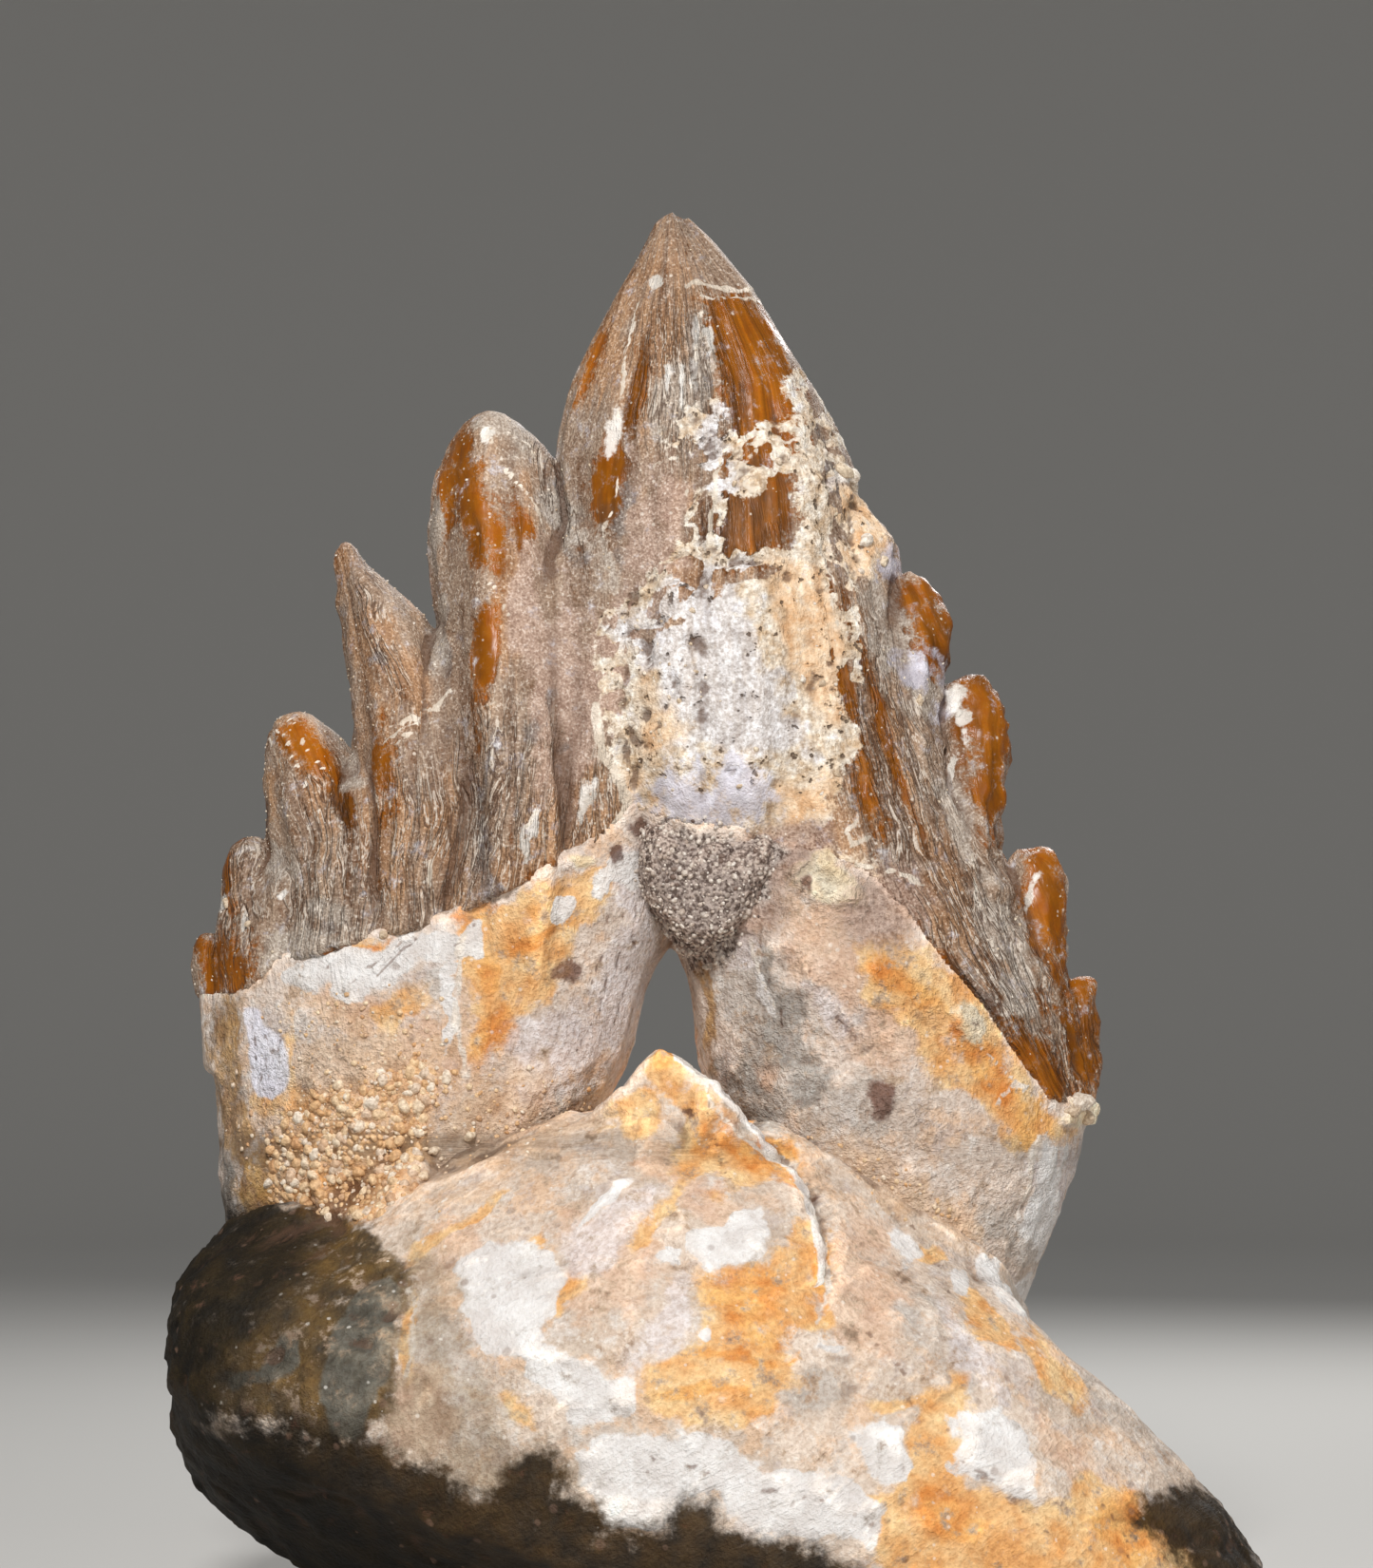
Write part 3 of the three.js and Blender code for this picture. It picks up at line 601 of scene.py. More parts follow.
class Skin:
    """The surface of one piece while it is being shaped, in millimetres."""

    def __init__(self, name, nodes, voxel, calm, below=None, above=None):
        self.name = name
        self.masks = {}
        self.mesh = even_mesh(name, nodes, voxel, below, above)
        self.points = read(self.mesh.vertices, "co", 3) / MM
        self.edges = read(self.mesh.edges, "vertices", 2, np.int64)
        self.ties = np.bincount(self.edges.ravel(), minlength=len(self.points))
        for pull in SMOOTHING * calm:
            self.points += pull * (self.around(self.points) - self.points)
        x, y, z = self.points.T
        reach = -EYE.y / (y - EYE.y)
        self.column = MIDDLE_COLUMN + (EYE.x + (x - EYE.x) * reach) / PIXEL
        self.row = FOOT_ROW - (EYE.z + (z - EYE.z) * reach) / PIXEL
        self.front = smooth_step(BOW * x * x - y, -SEAM, SEAM)
        self.facing = self.normals()[:, 1] ** 2
        # How marks stray from their places, across and down, in pixels.
        strays = [self.relief((14, 5, seed, 2), (9, 1.8, seed + 1, 3)) for seed in (401, 411)]
        self.strays = np.array(strays)

    def rough(self, size, seed, layers=4):
        """Noise on the surface: the size of its largest lumps, its seed and its number of layers."""
        return rough(self.points, size, seed, layers)

    def relief(self, *rows):
        """Noise in layers: height in millimetres, size, seed, number of finer layers, and where."""
        total = 0
        for height, size, seed, layers, *where in rows:
            total = total + height * self.rough(size, seed, layers) * (where[0] if where else 1)
        return total

    def steps(self, *rows):
        """Steps at the rims of masks: mask, height in millimetres, and where the rim starts and ends."""
        return sum(height * self.over(name, low, high) for name, height, low, high in rows)

    def over(self, name, low, high):
        return smooth_step(self.masks[name], low, high)

    def nearest_on(self, node):
        """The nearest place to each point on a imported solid, and how far away it is."""
        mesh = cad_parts[node].data
        corners = [v.co / MM for v in mesh.vertices]
        tree = BVHTree.FromPolygons(corners, [list(p.vertices) for p in mesh.polygons])
        found = [tree.find_nearest(Vector(point), REACH) for point in self.points]
        nearest = [place if place else point for (place, *_), point in zip(found, self.points)]
        return np.array(nearest), np.array([REACH if apart is None else apart for *_, apart in found])

    def melted(self, share, rounds):
        """Smooths the surface where share is above 0."""
        for _ in range(rounds):
            self.points += share[:, None] * (self.around(self.points) - self.points)

    def around(self, values):
        """The mean of each point's neighbours."""
        a, b = self.edges.T
        count = len(self.ties)
        flat = values.reshape(count, -1)
        total = [np.bincount(a, part[b], count) + np.bincount(b, part[a], count) for part in flat.T]
        return (np.array(total) / self.ties).T.reshape(values.shape)

    def normals(self):
        self.mesh.vertices.foreach_set("co", (self.points * MM).ravel())
        self.mesh.update()
        return read(self.mesh.vertices, "normal", 3)

    def push(self, height):
        """Moves the surface out along its normals."""
        self.points += self.normals() * np.reshape(height, (-1, 1))

    def spots(self, places, soft=0.5, stray=0.0):
        """How far each point is inside the nearest of some ovals and outlines: one half on the rim."""
        best = np.zeros(len(self.points))
        seen = np.array([self.column, self.row]) + stray * self.strays
        for place in places:
            if isinstance(place, list):
                inside = inside_outline(seen, place) / OUTLINE_RIM
            else:
                inside = inside_oval(seen, *place)
            best = np.maximum(best, np.clip(0.5 + inside / (2 * soft), 0, 1))
        return best

    def shown(self, places, soft=0.5, stray=0.0):
        """Spots on the front alone."""
        return self.spots(places, soft, stray) * self.front

    def patches(self, places, seed, common, ragged, soft=0.5):
        """Ragged places on the front, and patches of their own, common or not, on the unseen back."""
        hidden = np.clip(0.5 + 1.5 * (self.rough(11, seed, 3) + common), 0, 1)
        smooth = self.shown(places, soft, min(2 * ragged, 1.2)) + (1 - self.front) * hidden
        fraying = self.relief((ragged, 3.2, seed + 100, 3), (ragged / 2, 1.1, seed + 200, 2))
        return np.clip(smooth + fraying * smooth_step(smooth, 0, 0.25), 0, 1)

    def threads(self, lines):
        """How near each point is to one of some lines: 1 on it, one half at its half width."""
        best = np.zeros(len(self.points))
        place = np.column_stack([self.column, self.row]) * PIXEL
        for far, size, *seeds in WAVER:
            place = place + far * several(self.points, size, *seeds)
        swelling = 0.8 + 0.5 * bumps(self.points, 1.6, 9) + 0.35 * bumps(self.points, 0.7, 10)
        swelling = np.maximum(swelling, 0.1)
        for width, *corners in lines:
            corners = np.array(corners) * PIXEL
            for start, end in zip(corners, corners[1:]):
                span = end - start
                share = np.clip((place - start) @ span / (span @ span), 0, 1)
                apart = np.linalg.norm(place - start - share[:, None] * span, axis=1)
                best = np.maximum(best, 1 - apart / (2 * width * swelling))
        return np.clip(best * self.front, 0, 1)

    def hollows(self):
        """Where the surface is hollow, above one half, or stands out, below it."""
        normals = self.normals()
        even = self.points
        found = 0.5
        for rounds, strength in HOLLOW_SIZES:
            for _ in range(rounds):
                even = self.around(even)
            found = found + strength * np.sum((even - self.points) * normals, axis=1)
        return np.clip(self.around(found), 0, 1)

    def finished(self, slot, node):
        """Hands the surface over as a piece of the object."""
        self.masks["hollow"] = self.hollows()
        self.masks["patchy"] = np.clip(0.5 + 0.9 * self.rough(4.5, 301, 4), 0, 1)
        self.masks["mottled"] = np.clip(0.5 + 0.9 * self.rough(1.7, 302, 3), 0, 1)
        for name, values in self.masks.items():
            layer = self.mesh.attributes.new(name, "FLOAT", "POINT")
            layer.data.foreach_set("value", np.ascontiguousarray(values, np.float32))
        self.mesh.materials.clear()
        return handed_over(self.name, self.mesh, slot, node)


def handed_over(name, mesh, slot, *nodes):
    mesh.polygons.foreach_set("use_smooth", np.ones(len(mesh.polygons), bool))
    piece = bpy.data.objects.new(name, mesh)
    bpy.context.scene.collection.objects.link(piece)
    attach(piece, "root")
    if nodes:
        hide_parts(*nodes)
    return piece


# Patches of the bone: places, how common they are on the back, and how ragged they are.
BONE_PATCHES = {
    "orange": (ORANGE, -0.12, 0.6),
    "deep_orange": (DEEP_ORANGE, -0.3, 0.6),
    "white": (WHITE, -0.2, 0.6),
    "pale_lilac": (PALE_LILAC, -0.3, 0.6),
    "grey": (GREY, -0.2, 0.6),
    "peach": (PEACH, -0.1, 0.6),
    "dark_spot": (DARK_SPOTS, -0.75, 0.6),
    "ochre": (OCHRE, -0.45, 0.6),
    "pores": (PORES, -0.9, 0.15),
    "sandy": (SANDY, -0.2, 0.6),
    "rust": (RUST, -0.5, 0.6),
    "slate": (SLATE, -0.5, 0.6),
    "inset": (INSET, -0.9, 0.15),
    "cream": (CREAM, -0.5, 0.6),
}
# Painted shades that run on round the back too: places, how soft they are and how far they stray.
BONE_SHADES = {"shade_margin": (SHADE_MARGIN, 1.8, 1.0), "bottom_shade": (BOTTOM_SHADE, 1.0, 0.7), "shaded_end": (SHADED_END, 2.0, 1.0)}
CROWN_PATCHES = {
    "amber": (AMBER, -0.1, 0.4),
    "dark_enamel": (DARK_ENAMEL, -0.2, 0.5),
    "pink_film": (PINK_FILM, -0.1, 0.5),
    "pale_film": (PALE_FILM, -0.25, 0.6),
    "white_crust": (WHITE_CRUST, -0.1, 0.7),
    "tan_crust": (TAN_CRUST, -0.1, 0.7),
    "lilac": (LILAC, -0.6, 0.6),
    "tawny": (TAWNY, 0.0, 0.6),
    "slate": (SLATE_FILM, -0.4, 0.6),
}
LOWEST_ROOT_ROW = 1230  # where the fibres of the roots give way to those of the block


def bone_masks(skin):
    """The stains, patches and painted shades that roots, shard, block and sandstone share."""
    for seed, (name, (places, common, ragged)) in enumerate(BONE_PATCHES.items()):
        skin.masks[name] = skin.patches(places, 40 + seed, common, ragged)
    for name, (places, soft, stray) in BONE_SHADES.items():
        skin.masks[name] = skin.spots(places, soft, stray)
    skin.masks["cracks"] = skin.threads(CRACKS)
    skin.masks["pale_lines"] = skin.threads(PALE_LINES)
    skin.masks["sand_bed"] = skin.shown(GRANULES, 0.8, 0.8)
    skin.masks["coarse"] = skin.shown(ROUGH)
    x, _, z = skin.points.T
    on_root = smooth_step(skin.row, LOWEST_ROOT_ROW, LOWEST_ROOT_ROW - 40)
    up_the_block = 0.8 * z - 0.5 * x
    skin.masks["across"] = on_root * x + (1 - on_root) * up_the_block + 1.2 * bumps(skin.points, 6, 47)
    return skin.masks["coarse"]


def above_enamel_edge(skin):
    """Millimetres above the line where the enamel ends."""
    edge_columns, edge_rows = np.array(ENAMEL_EDGE, float).T
    above = (np.interp(skin.column, edge_columns, edge_rows) - skin.row) * PIXEL
    return above + 0.35 * skin.rough(2.4, 1, 3)


RIB_ROW = 850  # the row along which the way across the ribs is measured


def ribs(skin):
    """Runs across the ribs in millimetres, as measured low on the crown, and the bulge of the crown."""
    bulges, lines, feet = [], [], []
    for bulge, *line in RIB_LINES:
        columns, rows = np.array(line, float).T
        bulges.append(float(bulge))
        lines.append(np.interp(skin.row, rows, columns))
        feet.append(np.interp(RIB_ROW, rows, columns))
    across = np.zeros(len(skin.points))
    bulge = np.full(len(skin.points), bulges[0])
    for k in range(len(lines) - 1):
        share = np.clip((skin.column - lines[k]) / np.maximum(lines[k + 1] - lines[k], 2), 0, 1)
        across += share * (feet[k + 1] - feet[k]) * PIXEL
        bulge += smooth_step(share, 0, 1) * (bulges[k + 1] - bulges[k])
    return across, bulge


def crust_on(skin):
    """The cream crust: frayed areas, a network of ridges, and patches of its own on the back."""
    on_back = np.clip(skin.rough(9, 8, 3) * 1.6 - 0.3, 0, 1) * (1 - skin.front)
    crust = np.maximum(skin.shown(CRUST, 1.1, 0.5), on_back)
    fraying = 0.5 * skin.rough(2.6, 4) + 0.35 * (0.4 - np.abs(skin.rough(1.6, 14, 2)))
    crust = np.clip(crust + fraying * smooth_step(crust, 0.05, 0.35), 0, 1)
    bent = skin.points @ TURN + 0.9 * several(skin.points, 1.7, 23, 24, 25)
    ridges = np.clip(0.5 + 5 * (0.2 - np.abs(rough(bent, 2.3, 21, 3))), 0, 1)
    network = smooth_step(skin.spots(NETWORK, 0.8, 0.6), 0.3, 0.7) * skin.front
    return crust + network * (ridges - crust)


# Where the enamel ends flush with the root.
FLUSH = [(760, 882, 120, 50, 6), (925, 950, 60, 40, -40), (240, 1050, 70, 40)]
CROWN_MIDDLE = 680  # the column of the main cusp
LEFT_EDGE = (560, 420)  # columns where the left side's cusps start and are reached


def crown():
    skin = Skin("enamel_surface", ["tooth"], voxel=0.42, calm=12, below=41)
    masks = skin.masks
    masks["crust"] = crust_on(skin)
    masks["lacy"] = skin.patches(LACY, 29, -0.1, 0.6)
    masks["threads"] = skin.threads(THREADS)
    masks["chips"] = skin.shown(CHIPS, 0.5, 0.5)
    masks["grit"] = skin.shown(GRIT, 0.6, 0.6)
    above_edge = above_enamel_edge(skin)
    across, bulge = ribs(skin)
    _, y, z = skin.points.T
    along_ribs = np.column_stack([across, 0.35 * y, 0.1 * z])
    broad = rough(along_ribs, 2.8, 2, 2)
    wavy = along_ribs * (1, 1, 1.6) + 0.3 * bumps(skin.points, 2, 13)[:, None]
    fine = 0.5 - np.abs(rough(wavy, 1.15, 3, 2))

    raised = skin.over("crust", 0.44, 0.6)
    flush = skin.shown(FLUSH)
    height = ENAMEL_STEP * (1 - flush) + skin.facing * 1.4 * bulge
    height += 0.42 * broad + 0.3 * fine * (1 - 0.6 * raised)
    # The edges at both sides are jagged, those of the left cusps less.
    jagged = (1 - skin.facing) * smooth_step(np.abs(skin.column - CROWN_MIDDLE), 150, 260)
    jagged *= 1 - 0.6 * smooth_step(skin.column, *LEFT_EDGE)
    height += skin.relief((0.7, 2.6, 20, 2, jagged), (0.4, 1.1, 22, 2, jagged))
    # The crust is raised, with knobs and pits where it is lacy.
    knobs, own = pebbles(skin.points, 1.1, 15)
    pits = smooth_step(skin.rough(1.2, 6, 3), 0.15, 0.45)
    knobbly = 0.5 * own * (0.6 - knobs) - 0.6 * pits
    height += raised * (0.14 + 0.36 * skin.rough(2, 7, 3) + (0.12 + 0.88 * masks["lacy"]) * knobbly)
    height += skin.steps(("threads", 0.14, 0.3, 0.8), ("chips", -0.12, 0.45, 0.6))
    height *= 1 - 0.8 * flush * smooth_step(above_edge, 3, 0.5)
    height += skin.relief((0.5, 1.2, 9, 3, masks["grit"]))
    # Below its edge the enamel goes in under the root's surface.
    height -= 1.6 * smooth_step(above_edge, 0.1, -0.35)
    skin.push(height)

    masks["across"] = across + 0.3 * bumps(skin.points, 4, 18) + 0.14 * bumps(skin.points, 1.5, 19)
    masks["striae"] = skin.shown(STRIAE, 0.9, 0.6) + 0.6 * (1 - skin.front)
    masks["umber"] = skin.shown(UMBER, 0.8, 0.6)
    for seed, (name, (places, common, ragged)) in enumerate(CROWN_PATCHES.items()):
        masks[name] = skin.patches(places, 20 + seed, common, ragged, 0.9)
    return skin


FORK_BACK = (1.7, 66)  # x and z of the fork's top on the back, where the crown's foot is smoothed away


def roots():
    skin = Skin("root_surface", ["tooth"], voxel=0.4, calm=26, below=21, above=77)
    x, y, z = skin.points.T
    from_fork = np.hypot(x - FORK_BACK[0], z - FORK_BACK[1])
    skin.melted(0.7 * smooth_step(y, 1, 4) * smooth_step(from_fork, 10, 4), 60)
    coarse = bone_masks(skin)
    above_edge = above_enamel_edge(skin)
    fibres = rough(np.column_stack([x, y, 0.22 * z]), 2.0, 12, 3)
    plain = (1 - skin.over("inset", 0.3, 0.6)) * (1 - skin.over("white", 0.4, 0.6))
    height = 0.05 + 0.12 * fibres
    height += skin.relief(
        (0.3, 6, 10, 4),
        (0.06, 1.6, 16, 2),
        (0.32, 1.5, 11, 3, coarse),
        (0.15, 3, 17, 2, coarse),
        (0.16, 1.1, 18, 2, plain * (0.3 + 0.7 * coarse)),
        (0.8, 1.4, 19, 3, skin.over("cream", 0.3, 0.7)),
    )
    height += skin.steps(
        ("cream", 0.48, 0.3, 0.7), ("cracks", -0.2, 0.4, 0.9), ("white", 0.1, 0.4, 0.6),
        ("pale_lines", 0.15, 0.3, 0.8),
    )
    height -= 0.35 * smooth_step(skin.shown(ROOT_LAYER, 0.25, 0.3), 0.4, 0.6)
    # Above the edge of the enamel the root goes in under it.
    height -= 0.9 * smooth_step(above_edge, 0.6, 1.6)
    skin.push(height)
    skin.masks["grit"] = skin.shown(GRIT, 0.6, 0.6)
    skin.masks["umber"] = skin.shown(UMBER, 0.8, 0.6)
    return skin


def block_relief(skin):
    """Shared relief of the bone block, its shard and the sandstone, so that they meet without a seam."""
    coarse = bone_masks(skin)
    height = 0.1 + skin.relief(
        (0.75, 13, 30, 3),
        (0.3, 4, 31, 4),
        (0.3, 1.5, 34, 3, coarse),
        (0.4, 1.8, 52, 3, skin.over("ochre", 0.4, 0.6)),
    )
    # Flakes: the ground is cut into levels with short steps between them.
    level = 2.4 * skin.rough(10, 33, 3)
    part = level - np.floor(level)
    height += 0.3 * (smooth_step(part, 0.42, 0.58) - part)
    return height + skin.steps(
        ("white", 0.12, 0.42, 0.58), ("orange", -0.1, 0.42, 0.58), ("cracks", -0.22, 0.4, 0.9)
    )


# Where the block's surface turns to the roots and how high it climbs them: x, foot and top.
SAND_LINE = np.array([
    (-42, 30, 35), (-34, 30, 35), (-24, 30, 35.5), (-15, 32, 38.5), (-8.5, 34, 43), (-4, 35, 46),
    (4, 33, 46), (14, 27, 42), (24, 22, 38), (32, 18, 34), (37, 14, 28),
]).T
# Where the shard's broken rim on the right starts: from x to x and from z to z.
RIM_ACROSS, RIM_UP = (-3, 2), (26, 34)
BLOCK_NODES = ["jaw_bone", "bone_shard", "socket_sandstone", "tooth"]


def merged_body(name, voxel, below=None):
    """Block, shard and sandstone as one body that runs up to the roots without a ledge."""
    skin = Skin(name, BLOCK_NODES, voxel, calm=12, below=below, above=57)
    x, _, z = skin.points.T
    _, from_shard = skin.nearest_on("bone_shard")
    on_shard = smooth_step(from_shard, 1.2, 0.4) * skin.front
    # Beside the roots the surface is drawn to them, from the foot to the top of their sockets' filling.
    nearest, _ = skin.nearest_on("tooth")
    foot, top = [np.interp(x, SAND_LINE[0], level) for level in SAND_LINE[1:]]
    climb = smooth_step(z, foot, top) * (1 - on_shard) * smooth_step(z, 55.5, 54)
    skin.points += 0.96 * climb[:, None] * (nearest - skin.points)
    skin.melted(0.9 * smooth_step(z, foot - 3, foot + 1) * (1 - on_shard), 30)
    # The shard flows into the block but for its rim, which is left to the shard's own surface.
    kept_rim = smooth_step(x, *RIM_ACROSS) * smooth_step(z, *RIM_UP)
    skin.melted(0.9 * smooth_step(from_shard, 4, 2.4) * (1 - kept_rim) * skin.front, 90)
    skin.points[:, 1] += 1.5 * on_shard * kept_rim
    # How far the surface lies under the roots' and the crown's own.
    _, from_tooth = skin.nearest_on("tooth")
    above_sand = smooth_step(z, top + 1, top + 4) * (1 - on_shard)
    skin.sunk = 1.2 * smooth_step(from_tooth, 1.3, 0.3) + 1.8 * above_sand
    return skin


def jaw():
    skin = merged_body("jaw_surface", 0.56)
    height = block_relief(skin) - skin.sunk
    holes, own = pebbles(skin.points, 2.3, 51)
    pierced = smooth_step(holes, 0.4, 0.2) * (own > 0.35)
    height -= 0.6 * skin.over("pores", 0.45, 0.6) * pierced
    broken_ends = smooth_step(np.abs(skin.points[:, 0] - 4), 38, 46)
    height += skin.relief((0.7, 2.4, 54, 3, broken_ends))
    skin.push(height)
    # The foot is flat.
    z = skin.points[:, 2]
    skin.points[:, 2] = np.where(z < 0.5, np.maximum(z * 0.2, 0.0), z)
    return skin


def shard():
    """The shard's surface comes out of the block along its right side and sinks into it elsewhere."""
    skin = Skin("shard_surface", ["bone_shard"], voxel=0.36, calm=4)
    height = block_relief(skin)
    x, y, z = skin.points.T
    right_side = smooth_step(x + 0.5 * (z - 40), -7, 0) * smooth_step(z, *RIM_UP)
    fibres = rough(np.column_stack([0.3 * x, y, z]), 1.3, 60, 3)
    chipped = smooth_step(skin.normals()[:, 0], 0.3, 0.75) * smooth_step(x, 0, 3)
    height += 0.1 * fibres * skin.over("orange", 0.4, 0.6)
    height += skin.relief((0.6, 1.6, 61, 3, chipped))
    skin.push(height + 0.1)
    skin.masks["white"] = np.maximum(skin.masks["white"], 0.8 * chipped)
    skin.points[:, 1] += 2.6 * (1 - right_side)
    return skin


def socket_sand():
    """The sandstone shows where its grains lie open; elsewhere it is under the bone's surface."""
    skin = merged_body("socket_sand_surface", 0.64, below=22)
    height = block_relief(skin)
    grainy = skin.masks["sand_bed"]
    bare = smooth_step(grainy, 0.25, 0.6)
    height -= np.minimum(skin.sunk, 1.0) * (1 - bare)
    near, own = pebbles(skin.points, 1.4, 70)
    height += 0.5 * grainy * (own * smooth_step(near, 0.7, 0) - 0.2)
    # Out by a quarter of a millimetre where it is bare, and 0.9 mm in where it is covered.
    skin.push(height - 0.9 + 1.15 * bare)
    return skin


LUMP_FRONT = -10.8  # y in front of which the lump of grit is pressed flat


def fork_sand():
    """The lump lies flat in the fork, wide at the top and narrow at the bottom."""
    skin = Skin("fork_sand_surface", ["fork_sandstone"], voxel=0.3, calm=6)
    x, _, z = skin.points.T
    up = (z - z.min()) / (z.max() - z.min())
    middle = x.mean()
    near, own = pebbles(skin.points, 0.9, 80)
    skin.push(skin.relief((0.8, 3, 81, 3)) + 0.4 * own * smooth_step(near, 0.7, 0))
    x, y, z = skin.points.T
    wide = middle + (x - middle) * (0.6 + 0.8 * up)
    flat = np.maximum(y, LUMP_FRONT) + 0.5 * np.minimum(y - LUMP_FRONT, 0)
    tall = z.mean() + 1.12 * (z - z.mean())
    skin.points = np.column_stack([wide, flat, tall])
    _, from_tooth = skin.nearest_on("tooth")
    skin.points[:, 1] += 1.5 * smooth_step(from_tooth, 2.2, 0.4)
    return skin


# Grains: many small lumps joined in one mesh.

FORMS = 8  # how many forms of lump there are


def lump_forms(detail, seed):
    """A few lumps of stone, each a dented ball."""
    shape = bmesh.new()
    bmesh.ops.create_icosphere(shape, subdivisions=detail, radius=1)
    ball = np.array([v.co[:] for v in shape.verts])
    faces = np.array([[v.index for v in face.verts] for face in shape.faces])
    shape.free()
    forms = []
    for k in range(FORMS):
        dents = 1 + 0.3 * bumps(ball, 0.9, seed + k) + 0.16 * bumps(ball, 0.45, seed + 20 + k)
        forms.append(ball * dents[:, None])
    return np.array(forms), faces


def grains(name, centres, sizes, chance, slot, detail, seed):
    """Grains at some places. Their sizes are given, or the smallest and how much larger they may be."""
    count = len(centres)
    if isinstance(sizes, tuple):
        smallest, more = sizes
        sizes = smallest + more * chance.random(count) ** 2
    tints = chance.random(count)
    forms, faces = lump_forms(detail, seed)
    shape_chance = np.random.default_rng(seed)
    picked = forms[shape_chance.integers(0, FORMS, count)]
    stretch = sizes[:, None] * shape_chance.uniform(0.6, 1.25, (count, 3))
    turns = np.linalg.qr(shape_chance.normal(size=(count, 3, 3)))[0]
    turns *= np.sign(np.linalg.det(turns))[:, None, None]
    placed = (picked * stretch[:, None, :]) @ turns + centres[:, None, :]
    offsets = np.arange(count)[:, None, None] * forms.shape[1]
    mesh = bpy.data.meshes.new(name)
    corners = (faces[None] + offsets).reshape(-1, 3)
    mesh.from_pydata((placed.reshape(-1, 3) * MM).tolist(), [], corners.tolist())
    layer = mesh.attributes.new("tint", "FLOAT", "POINT")
    layer.data.foreach_set("value", np.repeat(tints, forms.shape[1]).astype(np.float32))
    return handed_over(name, mesh, slot)


def scattered(skin, likely, gap, seed, sunk):
    """Places on a skin, more where they are likely, at most one in each cell of gap across."""
    chance = np.random.default_rng(seed)
    order = chance.permutation(len(skin.points))
    order = order[chance.random(len(order)) < likely[order]]
    cells = np.floor(skin.points[order] / gap).astype(np.int64)
    _, first = np.unique(cells, axis=0, return_index=True)
    chosen = order[np.sort(first)]
    return skin.points[chosen] - sunk * skin.normals()[chosen]


def sand(root_skin, sand_skin, jaw_skin):
    """The coarse grains over the left root and the finer ones round it."""
    chance = np.random.default_rng(90)
    coarse, fine = [], []
    for skin, share in ((root_skin, 1), (sand_skin, 1), (jaw_skin, 0.25)):
        here = share * smooth_step(skin.spots(GRANULES), 0.15, 0.85) * skin.front
        around = share * smooth_step(skin.spots(SANDY), 0.1, 0.9)
        if skin is root_skin:
            below_enamel = smooth_step(above_enamel_edge(skin), -0.5, -2)
            around = around * below_enamel * (1 - skin.spots(INSET, 0.2))
        coarse.append(scattered(skin, here, 0.68, 91, sunk=0.22))
        fine.append(scattered(skin, 0.24 * around + 0.4 * here, 0.45, 92, sunk=0.05))
    return [
        grains("coarse_sand", np.concatenate(coarse), (0.28, 0.42), chance, "sandstone", 2, 1),
        grains("fine_sand", np.concatenate(fine), (0.08, 0.26), chance, "sandstone", 1, 2),
    ]


def grit(lump_skin, *skins):
    """Dark and pale grains under the fork."""
    places = [scattered(lump_skin, 0.7 * lump_skin.front, 0.48, 96, sunk=0.04)]
    for skin in skins:
        places.append(scattered(skin, 0.7 * skin.over("grit", 0.2, 0.9), 0.48, 97, sunk=0.04))
    chance = np.random.default_rng(95)
    return grains("grit_grains", np.concatenate(places), (0.1, 0.24), chance, "grit", 1, 3)


def dust(skin):
    """Fine pale grains that cling to the crown, most of all in the valleys and along the left edge."""
    on_left = smooth_step(skin.column, *LEFT_EDGE) * (1 - skin.facing)
    likely = 0.006 + 0.12 * on_left + 0.05 * skin.over("pale_film", 0.4, 0.7)
    on_enamel = smooth_step(above_enamel_edge(skin), 0, 1)
    likely *= on_enamel * smooth_step(bumps(skin.points, 7, 88), -0.7, 0.6)
    places = scattered(skin, likely, 0.5, 87, sunk=0.02)
    return grains("enamel_dust", places, (0.06, 0.12), np.random.default_rng(89), "enamel", 1, 5)


def crumbs(skin):
    """Loose crumbs that make up the crust on the crown."""
    likely = 0.07 * skin.over("crust", 0.4, 0.7) * smooth_step(skin.row, 420, 520) * skin.masks["lacy"]
    places = scattered(skin, likely, 0.8, 98, sunk=0.08)
    return grains("crust_crumbs", places, (0.1, 0.28), np.random.default_rng(99), "enamel", 2, 4)


def lumps(skins):
    """Single lumps, put where the photograph shows them."""
    trees = []
    for skin in skins:
        faces = [list(p.vertices) for p in skin.mesh.polygons]
        trees.append(BVHTree.FromPolygons([Vector(point) for point in skin.points], faces))
    centres, sizes = [], []
    for column, row, size in LUMPS:
        aim = Vector(((column - MIDDLE_COLUMN) * PIXEL, 0, (FOOT_ROW - row) * PIXEL))
        hits = [tree.ray_cast(EYE, (aim - EYE).normalized()) for tree in trees]
        hits = [hit for hit in hits if hit[0] is not None]
        if hits:
            centres.append(min(hits, key=lambda hit: hit[3])[0])
            sizes.append(size)
    chance = np.random.default_rng(86)
    return grains("pale_lumps", np.array(centres), np.array(sizes), chance, "enamel", 3, 6)


# Shader nodes.


